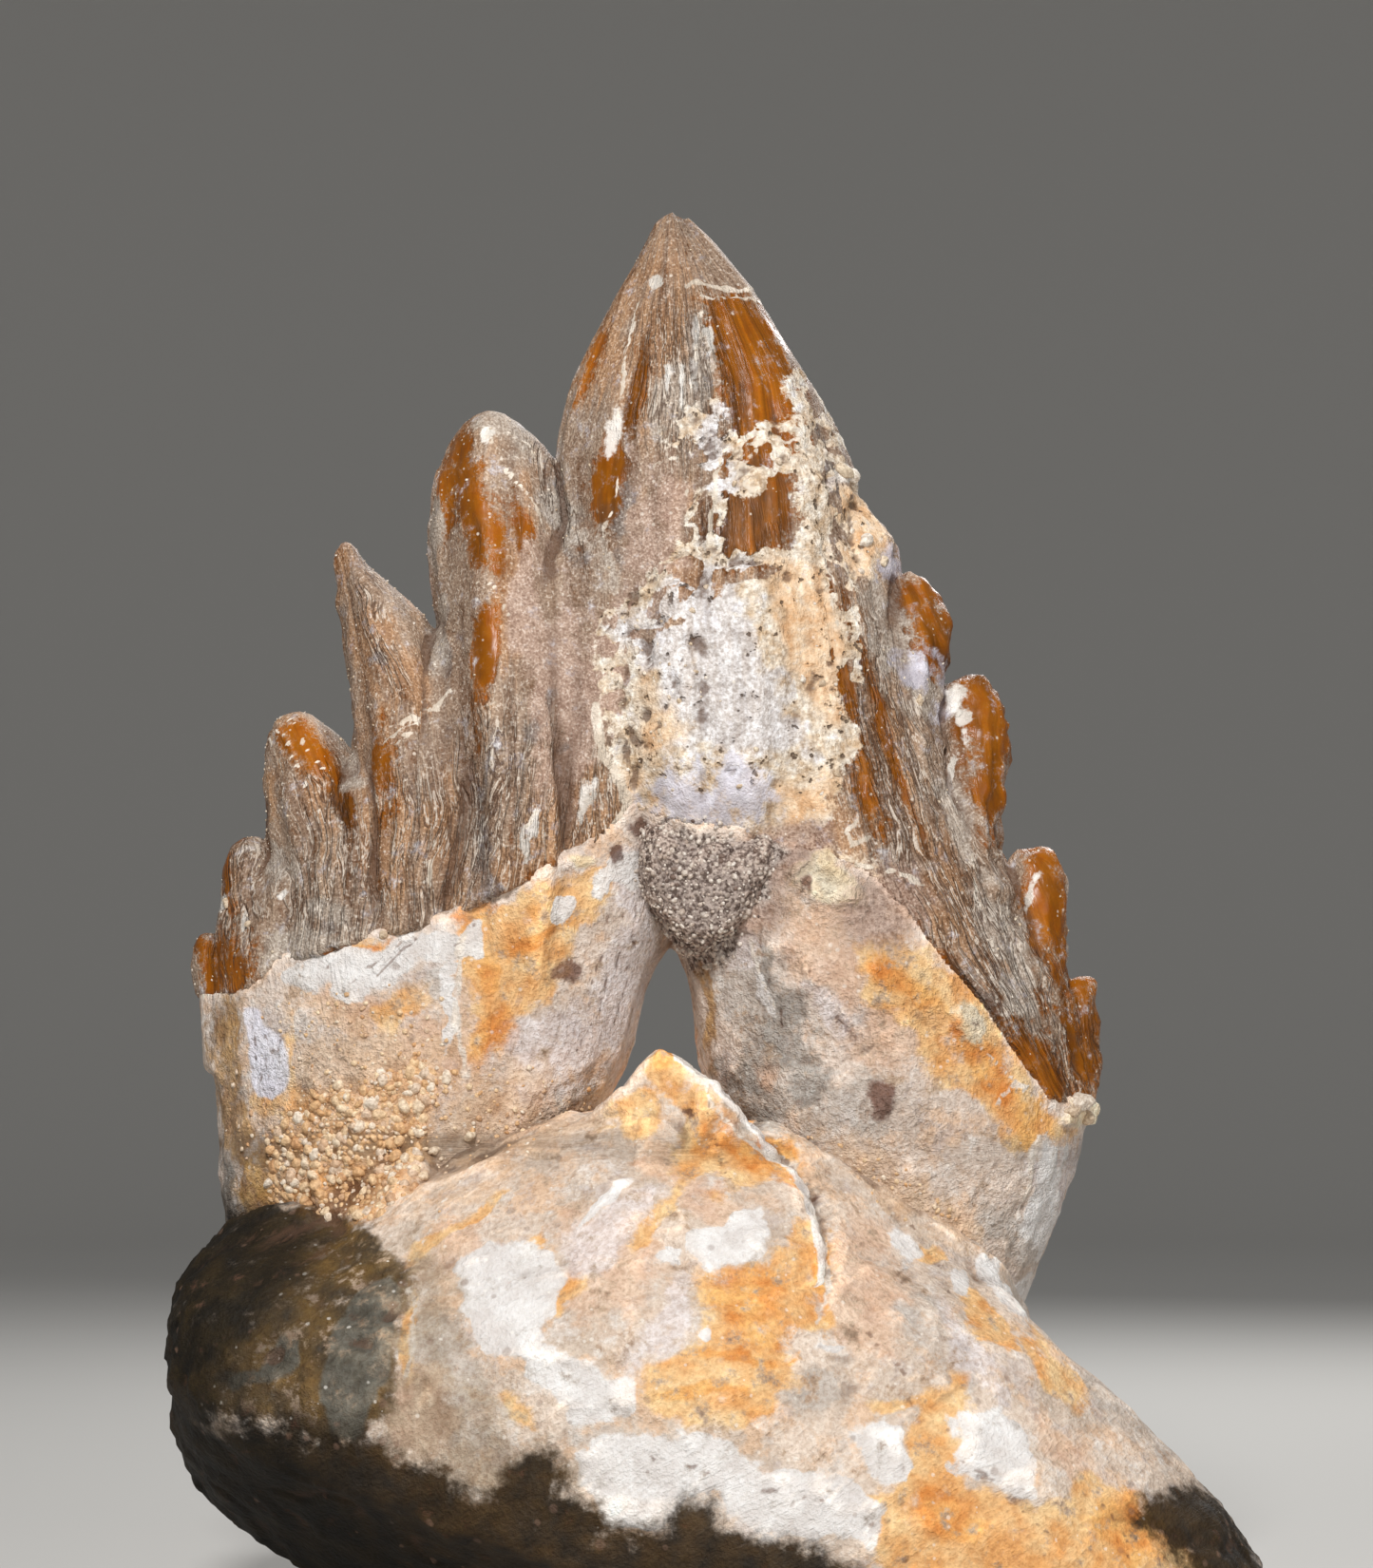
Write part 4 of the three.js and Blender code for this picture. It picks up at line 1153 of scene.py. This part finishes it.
class Value:
    """What a shader node puts out. Arithmetic with it adds nodes."""

    def __init__(self, nodes, output):
        self.nodes = nodes
        self.output = output

    def maths(self, operation, *others, clamp=False):
        values = enumerate((self, *others))
        return self.nodes.value("ShaderNodeMath", 0, values, operation=operation, use_clamp=clamp)

    def __add__(self, other):
        return self.maths("ADD", other)

    def __sub__(self, other):
        return self.maths("SUBTRACT", other)

    def __mul__(self, other):
        return self.maths("MULTIPLY", other)

    def __truediv__(self, other):
        return self.maths("DIVIDE", other)

    def __abs__(self):
        return self.maths("ABSOLUTE")

    def __rsub__(self, number):
        return self * -1.0 + number

    def or_more(self, other):
        return self.maths("MAXIMUM", other)

    def between(self, low, high):
        """Runs softly from 0 at low to 1 at high."""
        ranged = {"Value": self, "From Min": low, "From Max": high}
        return self.nodes.value("ShaderNodeMapRange", 0, ranged, interpolation_type="SMOOTHSTEP")


class Nodes:
    """The nodes of a shader or a node group, while it is put together."""

    def __init__(self, tree):
        self.tree = tree

    def feed(self, socket, value):
        """Links or sets a socket. A colour is given as the eye has it, 0 to 255."""
        if isinstance(value, Value):
            self.tree.links.new(value.output, socket)
        else:
            socket.default_value = tint(*value) if isinstance(value, tuple) else value

    def add(self, kind, inputs=(), **settings):
        """A node with its inputs, by number or name, set or linked."""
        node = self.tree.nodes.new(kind)
        for name, value in settings.items():
            setattr(node, name, value)
        for key, value in dict(inputs).items():
            self.feed(node.inputs[key], value)
        return node

    def value(self, kind, output, inputs=(), **settings):
        """One output of a new node."""
        return Value(self, self.add(kind, inputs, **settings).outputs[output])

    def mask(self, name):
        return self.value("ShaderNodeAttribute", "Fac", attribute_name=name)

    def mix(self, share, under, over, how="MIX"):
        inputs = {0: share, 6: under, 7: over}
        return self.value("ShaderNodeMix", 2, inputs, data_type="RGBA", blend_type=how)

    def place(self, size):
        """The place on the object, in units of size millimetres."""
        per_unit = self.value("ShaderNodeMath", 0, {0: 1 / MM, 1: size}, operation="DIVIDE")
        inputs = {0: self.value("ShaderNodeTexCoord", "Object"), 3: per_unit}
        return self.value("ShaderNodeVectorMath", 0, inputs, operation="SCALE")

    def clouds(self, where, detail=2.0, roughness=0.6, bend=0.0):
        """Cloudy noise at a place, or all over the object with clouds of a size in millimetres."""
        where = where if isinstance(where, Value) else self.place(where)
        inputs = {"Vector": where, "Scale": 1.0, "Detail": detail, "Roughness": roughness}
        return self.value("ShaderNodeTexNoise", "Fac", {**inputs, "Distortion": bend})

    def use(self, group, **inputs):
        return self.value("ShaderNodeGroup", 0, inputs, node_tree=group)

    def ragged(self, name, grain, ragged, soft):
        """A mask with an edge that follows a grain."""
        return self.use(RAGGED, Mask=self.mask(name), Grain=grain, Ragged=ragged, Soft=soft)

    def mottle(self, first, second, grain, contrast):
        """Two colours mingled by a grain."""
        return self.use(MOTTLE, First=first, Second=second, Grain=grain, Contrast=contrast)

    def specks(self, size, amount):
        return self.use(SPECKS, Size=size, Amount=amount)

    def streaks(self, size, length):
        """Wavy noise along the ribs or fibres."""
        return self.use(STREAKS, Across=self.mask("across"), Size=size, Length=length)


NUMBER, COLOUR = "NodeSocketFloat", "NodeSocketColor"


def node_group(name, inputs, output, kind, build):
    """A shader node group. build gets its nodes and inputs and gives back what it puts out."""
    tree = bpy.data.node_groups.new(name, "ShaderNodeTree")
    for socket_name, default in inputs.items():
        socket_kind = COLOUR if isinstance(default, tuple) else NUMBER
        socket = tree.interface.new_socket(socket_name, in_out="INPUT", socket_type=socket_kind)
        socket.default_value = default
    tree.interface.new_socket(output, in_out="OUTPUT", socket_type=kind)
    nodes = Nodes(tree)
    entry = nodes.add("NodeGroupInput").outputs
    nodes.add("NodeGroupOutput", {output: build(nodes, *[Value(nodes, entry[name]) for name in inputs])})
    return tree


def ragged_patch(nodes, inside, grain, ragged, soft):
    return ((grain - 0.5) * ragged + inside).between(0.5 - soft, soft + 0.5)


def mottled_colour(nodes, first, second, grain, contrast):
    share = ((grain - 0.5) * contrast).maths("ADD", 0.5, clamp=True)
    return nodes.mix(share, second, first)


def round_specks(nodes, size, amount):
    """Dots of many sizes in some cells of a pattern of cells."""
    inputs = {"Vector": nodes.place(size), "Scale": 1.0, "Randomness": 1.0}
    cells = nodes.add("ShaderNodeTexVoronoi", inputs).outputs
    own = nodes.add("ShaderNodeSeparateColor", {0: Value(nodes, cells["Color"])}).outputs
    chosen = Value(nodes, own[0]).maths("LESS_THAN", amount)
    wide = Value(nodes, own[1]) * 0.3 + 0.14
    return chosen * Value(nodes, cells["Distance"]).between(wide, wide * 0.5)


def drawn_streaks(nodes, across, size, length):
    parts = nodes.add("ShaderNodeSeparateXYZ", {0: nodes.place(1.0)}).outputs
    inputs = {0: across / size, 1: Value(nodes, parts[1]) / length, 2: Value(nodes, parts[2]) / length}
    return nodes.clouds(nodes.value("ShaderNodeCombineXYZ", 0, inputs), 3.0, 0.6, 0.5)


PLAIN = (0.5, 0.5, 0.5, 1)
PATCH_INPUTS = {"Mask": 0.0, "Grain": 0.5, "Ragged": 0.8, "Soft": 0.06}
MOTTLE_INPUTS = {"First": PLAIN, "Second": PLAIN, "Grain": 0.5, "Contrast": 2.0}
STREAK_INPUTS = {"Across": 0.0, "Size": 1.0, "Length": 12.0}
RAGGED = node_group("ragged patch", PATCH_INPUTS, "Mask", NUMBER, ragged_patch)
MOTTLE = node_group("mottle", MOTTLE_INPUTS, "Colour", COLOUR, mottled_colour)
SPECKS = node_group("specks", {"Size": 1.0, "Amount": 0.2}, "Mask", NUMBER, round_specks)
STREAKS = node_group("streaks", STREAK_INPUTS, "Value", NUMBER, drawn_streaks)

# Layers of colour: mask, paler and darker tint, how opaque, how ragged and how soft the edge is. Where
# they differ from the usual, the grain of the edge, the grain of the tints and their contrast follow.
USUAL_GRAINS = ("coarse", "mottled", 3.2)
BONE_LAYERS = [
    ("grey", (212, 206, 200), (168, 158, 148), 0.7, 2.8, 0.35),
    ("peach", (240, 208, 180), (218, 176, 146), 0.7, 2.8, 0.4),
    ("orange", (250, 214, 158), (233, 168, 96), 0.92, 2.2, 0.28),
    ("deep_orange", (248, 188, 108), (218, 132, 54), 0.8, 2.6, 0.35),
    # The ochre is the bone's own colour, painted darker as shade.
    ("ochre", (104, 76, 18), (42, 31, 6), 0.95, 2.0, 0.3),
    ("rust", (206, 160, 92), (140, 96, 40), 0.8, 2.6, 0.35),
    ("pale_lilac", (240, 234, 236), (214, 204, 204), 0.7, 2.8, 0.35),
    ("slate", (170, 166, 160), (118, 112, 106), 0.65, 3.0, 0.4),
    ("pores", (112, 109, 100), (80, 77, 68), 0.95, 0.8, 0.12),
    ("sand_bed", (220, 168, 114), (150, 100, 58), 0.85, 2.0, 0.3),
    ("sandy", (242, 212, 180), (204, 166, 128), 0.6, 3.0, 0.4),
    ("white", (240, 238, 236), (218, 212, 208), 0.95, 1.3, 0.12),
    ("cream", (246, 238, 216), (216, 198, 164), 0.9, 2.0, 0.25),
    ("inset", (240, 239, 247), (227, 224, 234), 0.97, 0.4, 0.08),
    ("pale_lines", (242, 236, 228), (226, 214, 200), 0.85, 1.2, 0.2),
    # Painted shade: the dusky margin.
    ("shade_margin", (176, 158, 134), (130, 112, 88), 0.65, 2.6, 0.45),
    # Painted shade: the bottom of the block.
    ("bottom_shade", (66, 46, 12), (28, 19, 4), 0.97, 1.5, 0.3),
    # Painted shade: the left end, nearly black.
    ("shaded_end", (38, 29, 10), (18, 13, 4), 0.98, 1.2, 0.45),
    ("dark_spot", (124, 84, 68), (84, 52, 40), 0.85, 2.2, 0.3),
    ("cracks", (118, 84, 64), (96, 66, 50), 0.6, 0.8, 0.2),
]
ROOT_LAYERS = [
    ("umber", (182, 154, 138), (118, 88, 72), 0.8, 0.9, 0.3, "fine", "fine", 4.0),
    ("grit", (196, 182, 172), (84, 68, 60), 1.0, 0.9, 0.2, "mottled", "fine", 5.0),
]
FILM_LAYERS = [
    ("tawny", (202, 160, 122), (142, 104, 74), 0.85, 2.4, 0.35, "wide", "wide", 3.0),
    ("pink_film", (214, 190, 174), (182, 154, 140), 0.85, 0.9, 0.25, "coarse", "coarse", 3.0),
    ("slate", (126, 120, 118), (126, 120, 118), 0.7, 2.4, 0.35),
    ("pale_film", (198, 190, 180), (198, 190, 180), 0.7, 0.9, 0.25),
]
CRUST_LAYERS = [
    ("white_crust", (252, 251, 252), (208, 202, 200), 1.0, 0.9, 0.25, "coarse", "coarse", 4.4),
    ("tan_crust", (250, 226, 194), (226, 180, 134), 0.9, 0.9, 0.25, "coarse", "coarse", 4.4),
]
CROWN_LAYERS = [
    ("umber", (178, 150, 134), (116, 86, 70), 0.85, 0.9, 0.3, "coarse", "stippled", 4.0),
    ("lilac", (216, 214, 228), (180, 176, 188), 0.75, 2.8, 0.35),
    ("chips", (242, 236, 228), (208, 202, 192), 0.8, 2.4, 0.2),
    ("threads", (240, 228, 212), (208, 194, 176), 0.85, 1.2, 0.12),
    ("grit", (196, 182, 172), (84, 68, 60), 1.0, 1.0, 0.2, "coarse", "stippled", 5.0),
]
# Soft clouds over the bone: size, the noise at which they start and are full, and their tint.
BONE_CLOUDS = [
    (5.0, 0.5, 0.62, (234, 192, 152)),
    (3.4, 0.53, 0.62, (234, 229, 224)),
    (4.1, 0.54, 0.64, (198, 186, 182)),
]


def painted(nodes, colour, layers, grains):
    """Layers over a colour, and the mask of each layer by name."""
    insides = {}
    for name, paler, darker, opaque, ragged, soft, *own in layers:
        edge, mingled, contrast = own or USUAL_GRAINS
        insides[name] = nodes.ragged(name, grains[edge], ragged, soft)
        tints = nodes.mottle(paler, darker, grains[mingled], contrast)
        colour = nodes.mix(insides[name] * opaque, colour, tints)
    return colour, insides


def with_hollows(nodes, colour, dirt_and_shade=0.6, wear_and_highlight=0.3):
    """Darker in the hollows, partly dirt and partly painted shade, and paler where the surface stands
    out, partly wear and partly painted highlight.
    """
    hollow = nodes.mask("hollow")
    colour = nodes.mix(hollow.between(0.58, 0.95) * dirt_and_shade, colour, (92, 66, 50))
    return nodes.mix(hollow.between(0.4, 0.1) * wear_and_highlight, colour, (236, 230, 220), "DODGE")


def new_material(name):
    material = bpy.data.materials.new(name)
    material.use_nodes = True
    tree = material.node_tree
    return material, Nodes(tree), tree.nodes["Principled BSDF"]


def finish(nodes, shader, colour, roughness, height, distance):
    """Connects a shader: distance is how deep its bumps are, in millimetres."""
    nodes.feed(shader.inputs["Base Color"], colour)
    nodes.feed(shader.inputs["Roughness"], roughness)
    bump = {"Height": height, "Strength": 1.0, "Distance": distance * MM}
    nodes.feed(shader.inputs["Normal"], nodes.value("ShaderNodeBump", 0, bump))


def enamel_grains(nodes):
    """The patterns that the layers of the crown follow."""
    grains = {
        "wide": nodes.streaks(1.3, 15.0),
        "thin": nodes.streaks(0.8, 6.0),
        "coarse": nodes.clouds(1.8, 5.0, 0.7),
        "fine": nodes.clouds(0.42, 2.0, 0.65),
        "stipple": nodes.clouds(0.22, 1.0, 0.5),
        "mottled": nodes.mask("mottled"),
    }
    grains["stippled"] = grains["stipple"] * 0.6 + grains["fine"] * 0.4
    return grains


def enamel_film(nodes, grains):
    """The dull stippled film with its stains, and their masks."""
    coarse, wide, stippled = grains["coarse"], grains["wide"], grains["stippled"]
    film = nodes.mottle((200, 186, 172), (146, 122, 103), coarse, 3.0)
    brownish = nodes.mottle((190, 166, 144), (132, 100, 76), wide, 4.0)
    film = nodes.mix(0.6, film, brownish)
    film, insides = painted(nodes, film, FILM_LAYERS, grains)
    dust = nodes.mottle((255, 252, 248), (164, 146, 130), stippled, 4.0)
    film = nodes.mix(0.75, film, dust, "MULTIPLY")
    return nodes.mix(stippled.between(0.56, 0.66) * 0.4, film, (228, 218, 206)), insides


def film_thickness(nodes, grains, amber, dark, calm_film):
    """The film is thin over amber, on ridges and in streaks, and thick where it is pink or pale."""
    thick = amber * -1.0 + 0.9 + dark * -0.15
    for name, share in (("wide", 1.3), ("thin", 0.6), ("coarse", 0.9), ("fine", 0.9)):
        thick = thick + (grains[name] - 0.5) * share
    return (thick + calm_film * 0.4).between(0.22, 0.74)


def enamel_crust(nodes, grains):
    """The crust's colour, and where it is pitted."""
    coarse = grains["coarse"]
    crust = nodes.mottle((255, 250, 238), (214, 188, 156), coarse, 4.4)
    crust, insides = painted(nodes, crust, CRUST_LAYERS, grains)
    flecks = nodes.mottle((255, 255, 255), (150, 132, 116), grains["fine"], 4.0)
    crust = nodes.mix(insides["tan_crust"] * -0.3 + 0.55, crust, flecks, "MULTIPLY")
    lines = nodes.mottle((255, 255, 255), (206, 190, 174), grains["thin"], 3.0)
    crust = nodes.mix(0.5, crust, lines, "MULTIPLY")
    # The pits are painted dark, a painted shade in them; the same pits sink the bumps.
    pits = nodes.clouds(0.9, 2.0, 0.6).between(nodes.mask("lacy") * 0.08 + 0.32, 0.28)
    return nodes.mix(pits * 0.85, crust, (84, 66, 54)), pits


def enamel_finish():
    """Ribbed amber enamel under a dull stippled film, with a cream crust."""
    material, nodes, shader = new_material("enamel")
    shader.inputs["IOR"].default_value = 1.4
    shader.inputs["Specular IOR Level"].default_value = 0.3
    grains = enamel_grains(nodes)
    wide, thin = grains["wide"], grains["thin"]
    amber_share = nodes.mask("amber")
    honey = nodes.mottle((176, 108, 20), (160, 84, 10), grains["coarse"], 3.0)
    amber = nodes.mottle(honey, (92, 52, 8), wide, 2.6)
    brown = nodes.mottle((128, 84, 46), (64, 42, 28), wide, 3.0)
    dark = nodes.ragged("dark_enamel", thin, 0.8, 0.3)
    bare = nodes.mix(dark * 0.75, amber, brown)
    film, insides = enamel_film(nodes, grains)
    pink, pale = insides["pink_film"], insides["pale_film"]
    thick = film_thickness(nodes, grains, amber_share, dark, pink.or_more(pale))
    enamel = nodes.mix(thick, bare, film)

    # Wavy striae: furrows painted dark as shade, with pale dust between them, calm on pink film and on
    # clean amber.
    calm = 1.0 - pink.or_more(amber_share.between(0.6, 1.0)) * 0.8
    calm = calm * (nodes.mask("striae").between(0.2, 0.7) * 0.8 + 0.2)
    off_line = abs(thin - 0.5)
    pale_lines = abs(thin - 0.548).between(0.02, 0.004) * calm * (thick * 0.6 + 0.1)
    enamel = nodes.mix(pale_lines, enamel, (222, 210, 195))
    enamel = nodes.mix(off_line.between(0.026, 0.004) * calm * 0.8, enamel, (74, 52, 38))

    raised = nodes.ragged("crust", grains["fine"], 0.6, 0.1)
    crust, pits = enamel_crust(nodes, grains)
    enamel = nodes.mix(raised, enamel, crust)
    enamel, _ = painted(nodes, enamel, CROWN_LAYERS, grains)
    enamel = nodes.mix(nodes.specks(0.5, 0.08) * 0.5, enamel, (236, 226, 212))
    colour = with_hollows(nodes, enamel, 0.75, 0.12)

    glossy = {"Value": (1.0 - thick) * (1.0 - raised), "To Min": 0.62, "To Max": 0.28}
    roughness = nodes.value("ShaderNodeMapRange", 0, glossy)
    ridges = off_line.maths("MINIMUM", 0.1) * (raised * -7.0 + 9.0)
    height = ridges * calm + grains["stippled"] * thick - pits * raised
    finish(nodes, shader, colour, roughness, height, 0.22)
    return material


def bone_colour(nodes, base, spread, grains, fibres):
    """The layered stains and painted shades over the bone's own colour, with fine grain, specks and
    pits.
    """
    lighter, darker = [tuple(min(part + side * spread, 255) for part in base) for side in (1, -1)]
    colour = nodes.mottle(lighter, darker, nodes.mask("patchy"), 1.8)
    for size, start, full, hue in BONE_CLOUDS:
        colour = nodes.mix(nodes.clouds(size, 6.0, 0.7).between(start, full) * 0.55, colour, hue)
    colour, _ = painted(nodes, colour, BONE_LAYERS, grains)
    streaked = fibres * 0.2 + grains["fine"] * 0.8
    fine = nodes.mottle((255, 255, 254), (196, 178, 162), streaked, 4.2)
    smooth = nodes.mask("white").or_more(nodes.mask("inset"))
    colour = nodes.mix(smooth * -0.4 + 0.6, colour, fine, "MULTIPLY")
    # Pale specks are kept off the painted shade.
    shaded = nodes.mask("bottom_shade").or_more(nodes.mask("shaded_end"))
    pale_specks = nodes.specks(0.6, 0.09) * (1.0 - shaded)
    colour = nodes.mix(pale_specks * 0.4, colour, (250, 244, 234))
    return nodes.mix(nodes.specks(1.3, 0.14) * 0.4, colour, (128, 100, 84))


def bone_finish(name, base, spread, depth):
    """Matt mottled bone. spread is how far its tints lie from the base, depth how deep its bumps are."""
    material, nodes, shader = new_material(name)
    shader.inputs["Specular IOR Level"].default_value = 0.25
    fibres = nodes.streaks(0.4, 3.0)
    coarse = nodes.clouds(2.4, 5.0, 0.7)
    fine = nodes.clouds(0.5, 3.0, 0.68)
    grains = {"coarse": coarse, "fine": fine, "mottled": nodes.mask("mottled") * 0.4 + coarse * 0.6}
    colour = bone_colour(nodes, base, spread, grains, fibres)
    if name == "root":
        colour, _ = painted(nodes, colour, ROOT_LAYERS, {**grains, "mottled": nodes.mask("mottled")})
    flakes = nodes.clouds(1.4, 4.0, 0.75) * nodes.mask("coarse")
    finish(nodes, shader, with_hollows(nodes, colour), 0.72, flakes * 2.4 + fine + fibres * 0.5, depth)
    return material


def grain_finish(name, tints):
    """Grains of stone, each of one tint."""
    material, nodes, shader = new_material(name)
    ramp = nodes.add("ShaderNodeValToRGB", {0: nodes.mask("tint")})
    stops = ramp.color_ramp.elements
    for k, colour in enumerate(tints):
        stop = stops[k] if k < 2 else stops.new(1)
        stop.position = k / (len(tints) - 1)
        stop.color = tint(*colour)
    grain = nodes.clouds(0.3)
    fine = nodes.mottle((255, 250, 244), (180, 160, 142), grain, 3.0)
    colour = nodes.mix(0.8, Value(nodes, ramp.outputs[0]), fine, "MULTIPLY")
    finish(nodes, shader, colour, 0.6, grain, 0.12)
    return material


def grit_finish():
    material, nodes, shader = new_material("grit bed")
    grain = nodes.clouds(0.4, 3.0)
    colour = nodes.mottle((176, 160, 150), (84, 68, 60), grain, 5.0)
    finish(nodes, shader, with_hollows(nodes, colour, 0.4), 0.85, grain, 0.25)
    return material


# Camera, light and floor.


def linked(name, data, place_mm, aim_mm=None):
    """A new object in the scene, at a place and looking at another."""
    piece = bpy.data.objects.new(name, data)
    bpy.context.scene.collection.objects.link(piece)
    piece.location = Vector(place_mm) * MM
    if aim_mm is not None:
        piece.rotation_euler = (Vector(aim_mm) - Vector(place_mm)).to_track_quat("-Z", "Y").to_euler()
    return piece


def camera():
    data = bpy.data.cameras.new("camera")
    data.sensor_width = 36
    data.lens = data.sensor_width * (AIM - EYE).length / VIEW_HEIGHT
    data.clip_start = 0.01
    bpy.context.scene.camera = linked("camera", data, EYE, AIM)


# Soft lights: name, place and aim in millimetres, width in millimetres and power in watts.
LIGHTS = [
    ("key", (-50, -370, 330), (0, 0, 60), 100, 1.95),
    ("fill", (260, -300, 160), (0, 0, 60), 260, 0.35),
    ("back", (120, 320, 300), (0, 0, 80), 200, 0.9),
]


def soft_light(name, place_mm, aim_mm, size_mm, power):
    data = bpy.data.lights.new(name, "AREA")
    data.shape = "DISK"
    data.size = size_mm * MM
    data.energy = power
    linked(name, data, place_mm, aim_mm)


def bowl(flat=0.8, curve=0.55, sides=96, steps=24):
    """A round floor whose rim curves up, so that no horizon shows. Its sizes are in metres."""
    arc = np.linspace(0, np.pi / 2, steps)
    turn = np.linspace(0, 2 * np.pi, sides, endpoint=False)
    rings = [
        np.column_stack([reach * np.cos(turn), reach * np.sin(turn), np.full(sides, rise)])
        for reach, rise in zip(flat + curve * np.sin(arc), curve - curve * np.cos(arc))
    ]
    faces = [list(range(sides))]
    for ring, k in product(range(steps - 1), range(sides)):
        a, b = ring * sides + k, ring * sides + (k + 1) % sides
        faces.append([b, a, a + sides, b + sides])
    mesh = bpy.data.meshes.new("floor")
    mesh.from_pydata(np.concatenate(rings).tolist(), [], faces)
    mesh.polygons.foreach_set("use_smooth", np.ones(len(mesh.polygons), bool))
    return mesh


def stage():
    world = bpy.data.worlds.new("studio")
    world.use_nodes = True
    background = world.node_tree.nodes["Background"]
    background.inputs["Color"].default_value = (1, 1, 1, 1)
    background.inputs["Strength"].default_value = 0.21
    bpy.context.scene.world = world
    for light in LIGHTS:
        soft_light(*light)
    floor = linked("floor", bowl(), (0, 0, 0))
    material, nodes, shader = new_material("floor")
    nodes.feed(shader.inputs["Base Color"], (196, 194, 190))
    nodes.feed(shader.inputs["Roughness"], 0.9)
    floor.data.materials.append(material)
    bpy.context.scene.view_settings.view_transform = "Standard"


SAND_TINTS = [(222, 178, 128), (238, 204, 160), (246, 224, 190), (246, 238, 224), (214, 166, 116)]
GRIT_TINTS = [
    (84, 68, 62), (130, 110, 100), (240, 236, 230), (226, 218, 210), (200, 186, 176), (236, 230, 222),
]
CRUMB_TINTS = [(240, 230, 210), (222, 204, 178), (246, 242, 234), (206, 186, 160)]
ROOT_BASE, BLOCK_BASE, SAND_BASE = (226, 210, 197), (222, 205, 189), (224, 204, 184)


def build():
    skins = crown(), roots(), jaw(), shard(), socket_sand(), fork_sand()
    crown_skin, root_skin, jaw_skin, _, sand_skin, lump_skin = skins
    loose = [
        (grain_finish("sand grains", SAND_TINTS), sand(root_skin, sand_skin, jaw_skin)),
        (grain_finish("grit grains", GRIT_TINTS), [grit(lump_skin, crown_skin, root_skin)]),
        (
            grain_finish("crust crumbs", CRUMB_TINTS),
            [crumbs(crown_skin), dust(crown_skin), lumps([crown_skin, root_skin, jaw_skin])],
        ),
    ]
    for stone, pieces in loose:
        for piece in pieces:
            piece.data.materials.append(stone)
    # The slot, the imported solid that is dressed, and the finish of each skin.
    dressed = [
        ("enamel", "tooth", enamel_finish()),
        ("enamel", "tooth", bone_finish("root", ROOT_BASE, 15, 0.42)),
        ("bone", "jaw_bone", bone_finish("bone", BLOCK_BASE, 14, 0.3)),
        ("shard", "bone_shard", bone_finish("shard", BLOCK_BASE, 14, 0.3)),
        ("sandstone", "socket_sandstone", bone_finish("sandstone", SAND_BASE, 14, 0.4)),
        ("grit", "fork_sandstone", grit_finish()),
    ]
    for skin, (slot, node, material) in zip(skins, dressed):
        skin.finished(slot, node).data.materials.append(material)


camera()
stage()
build()
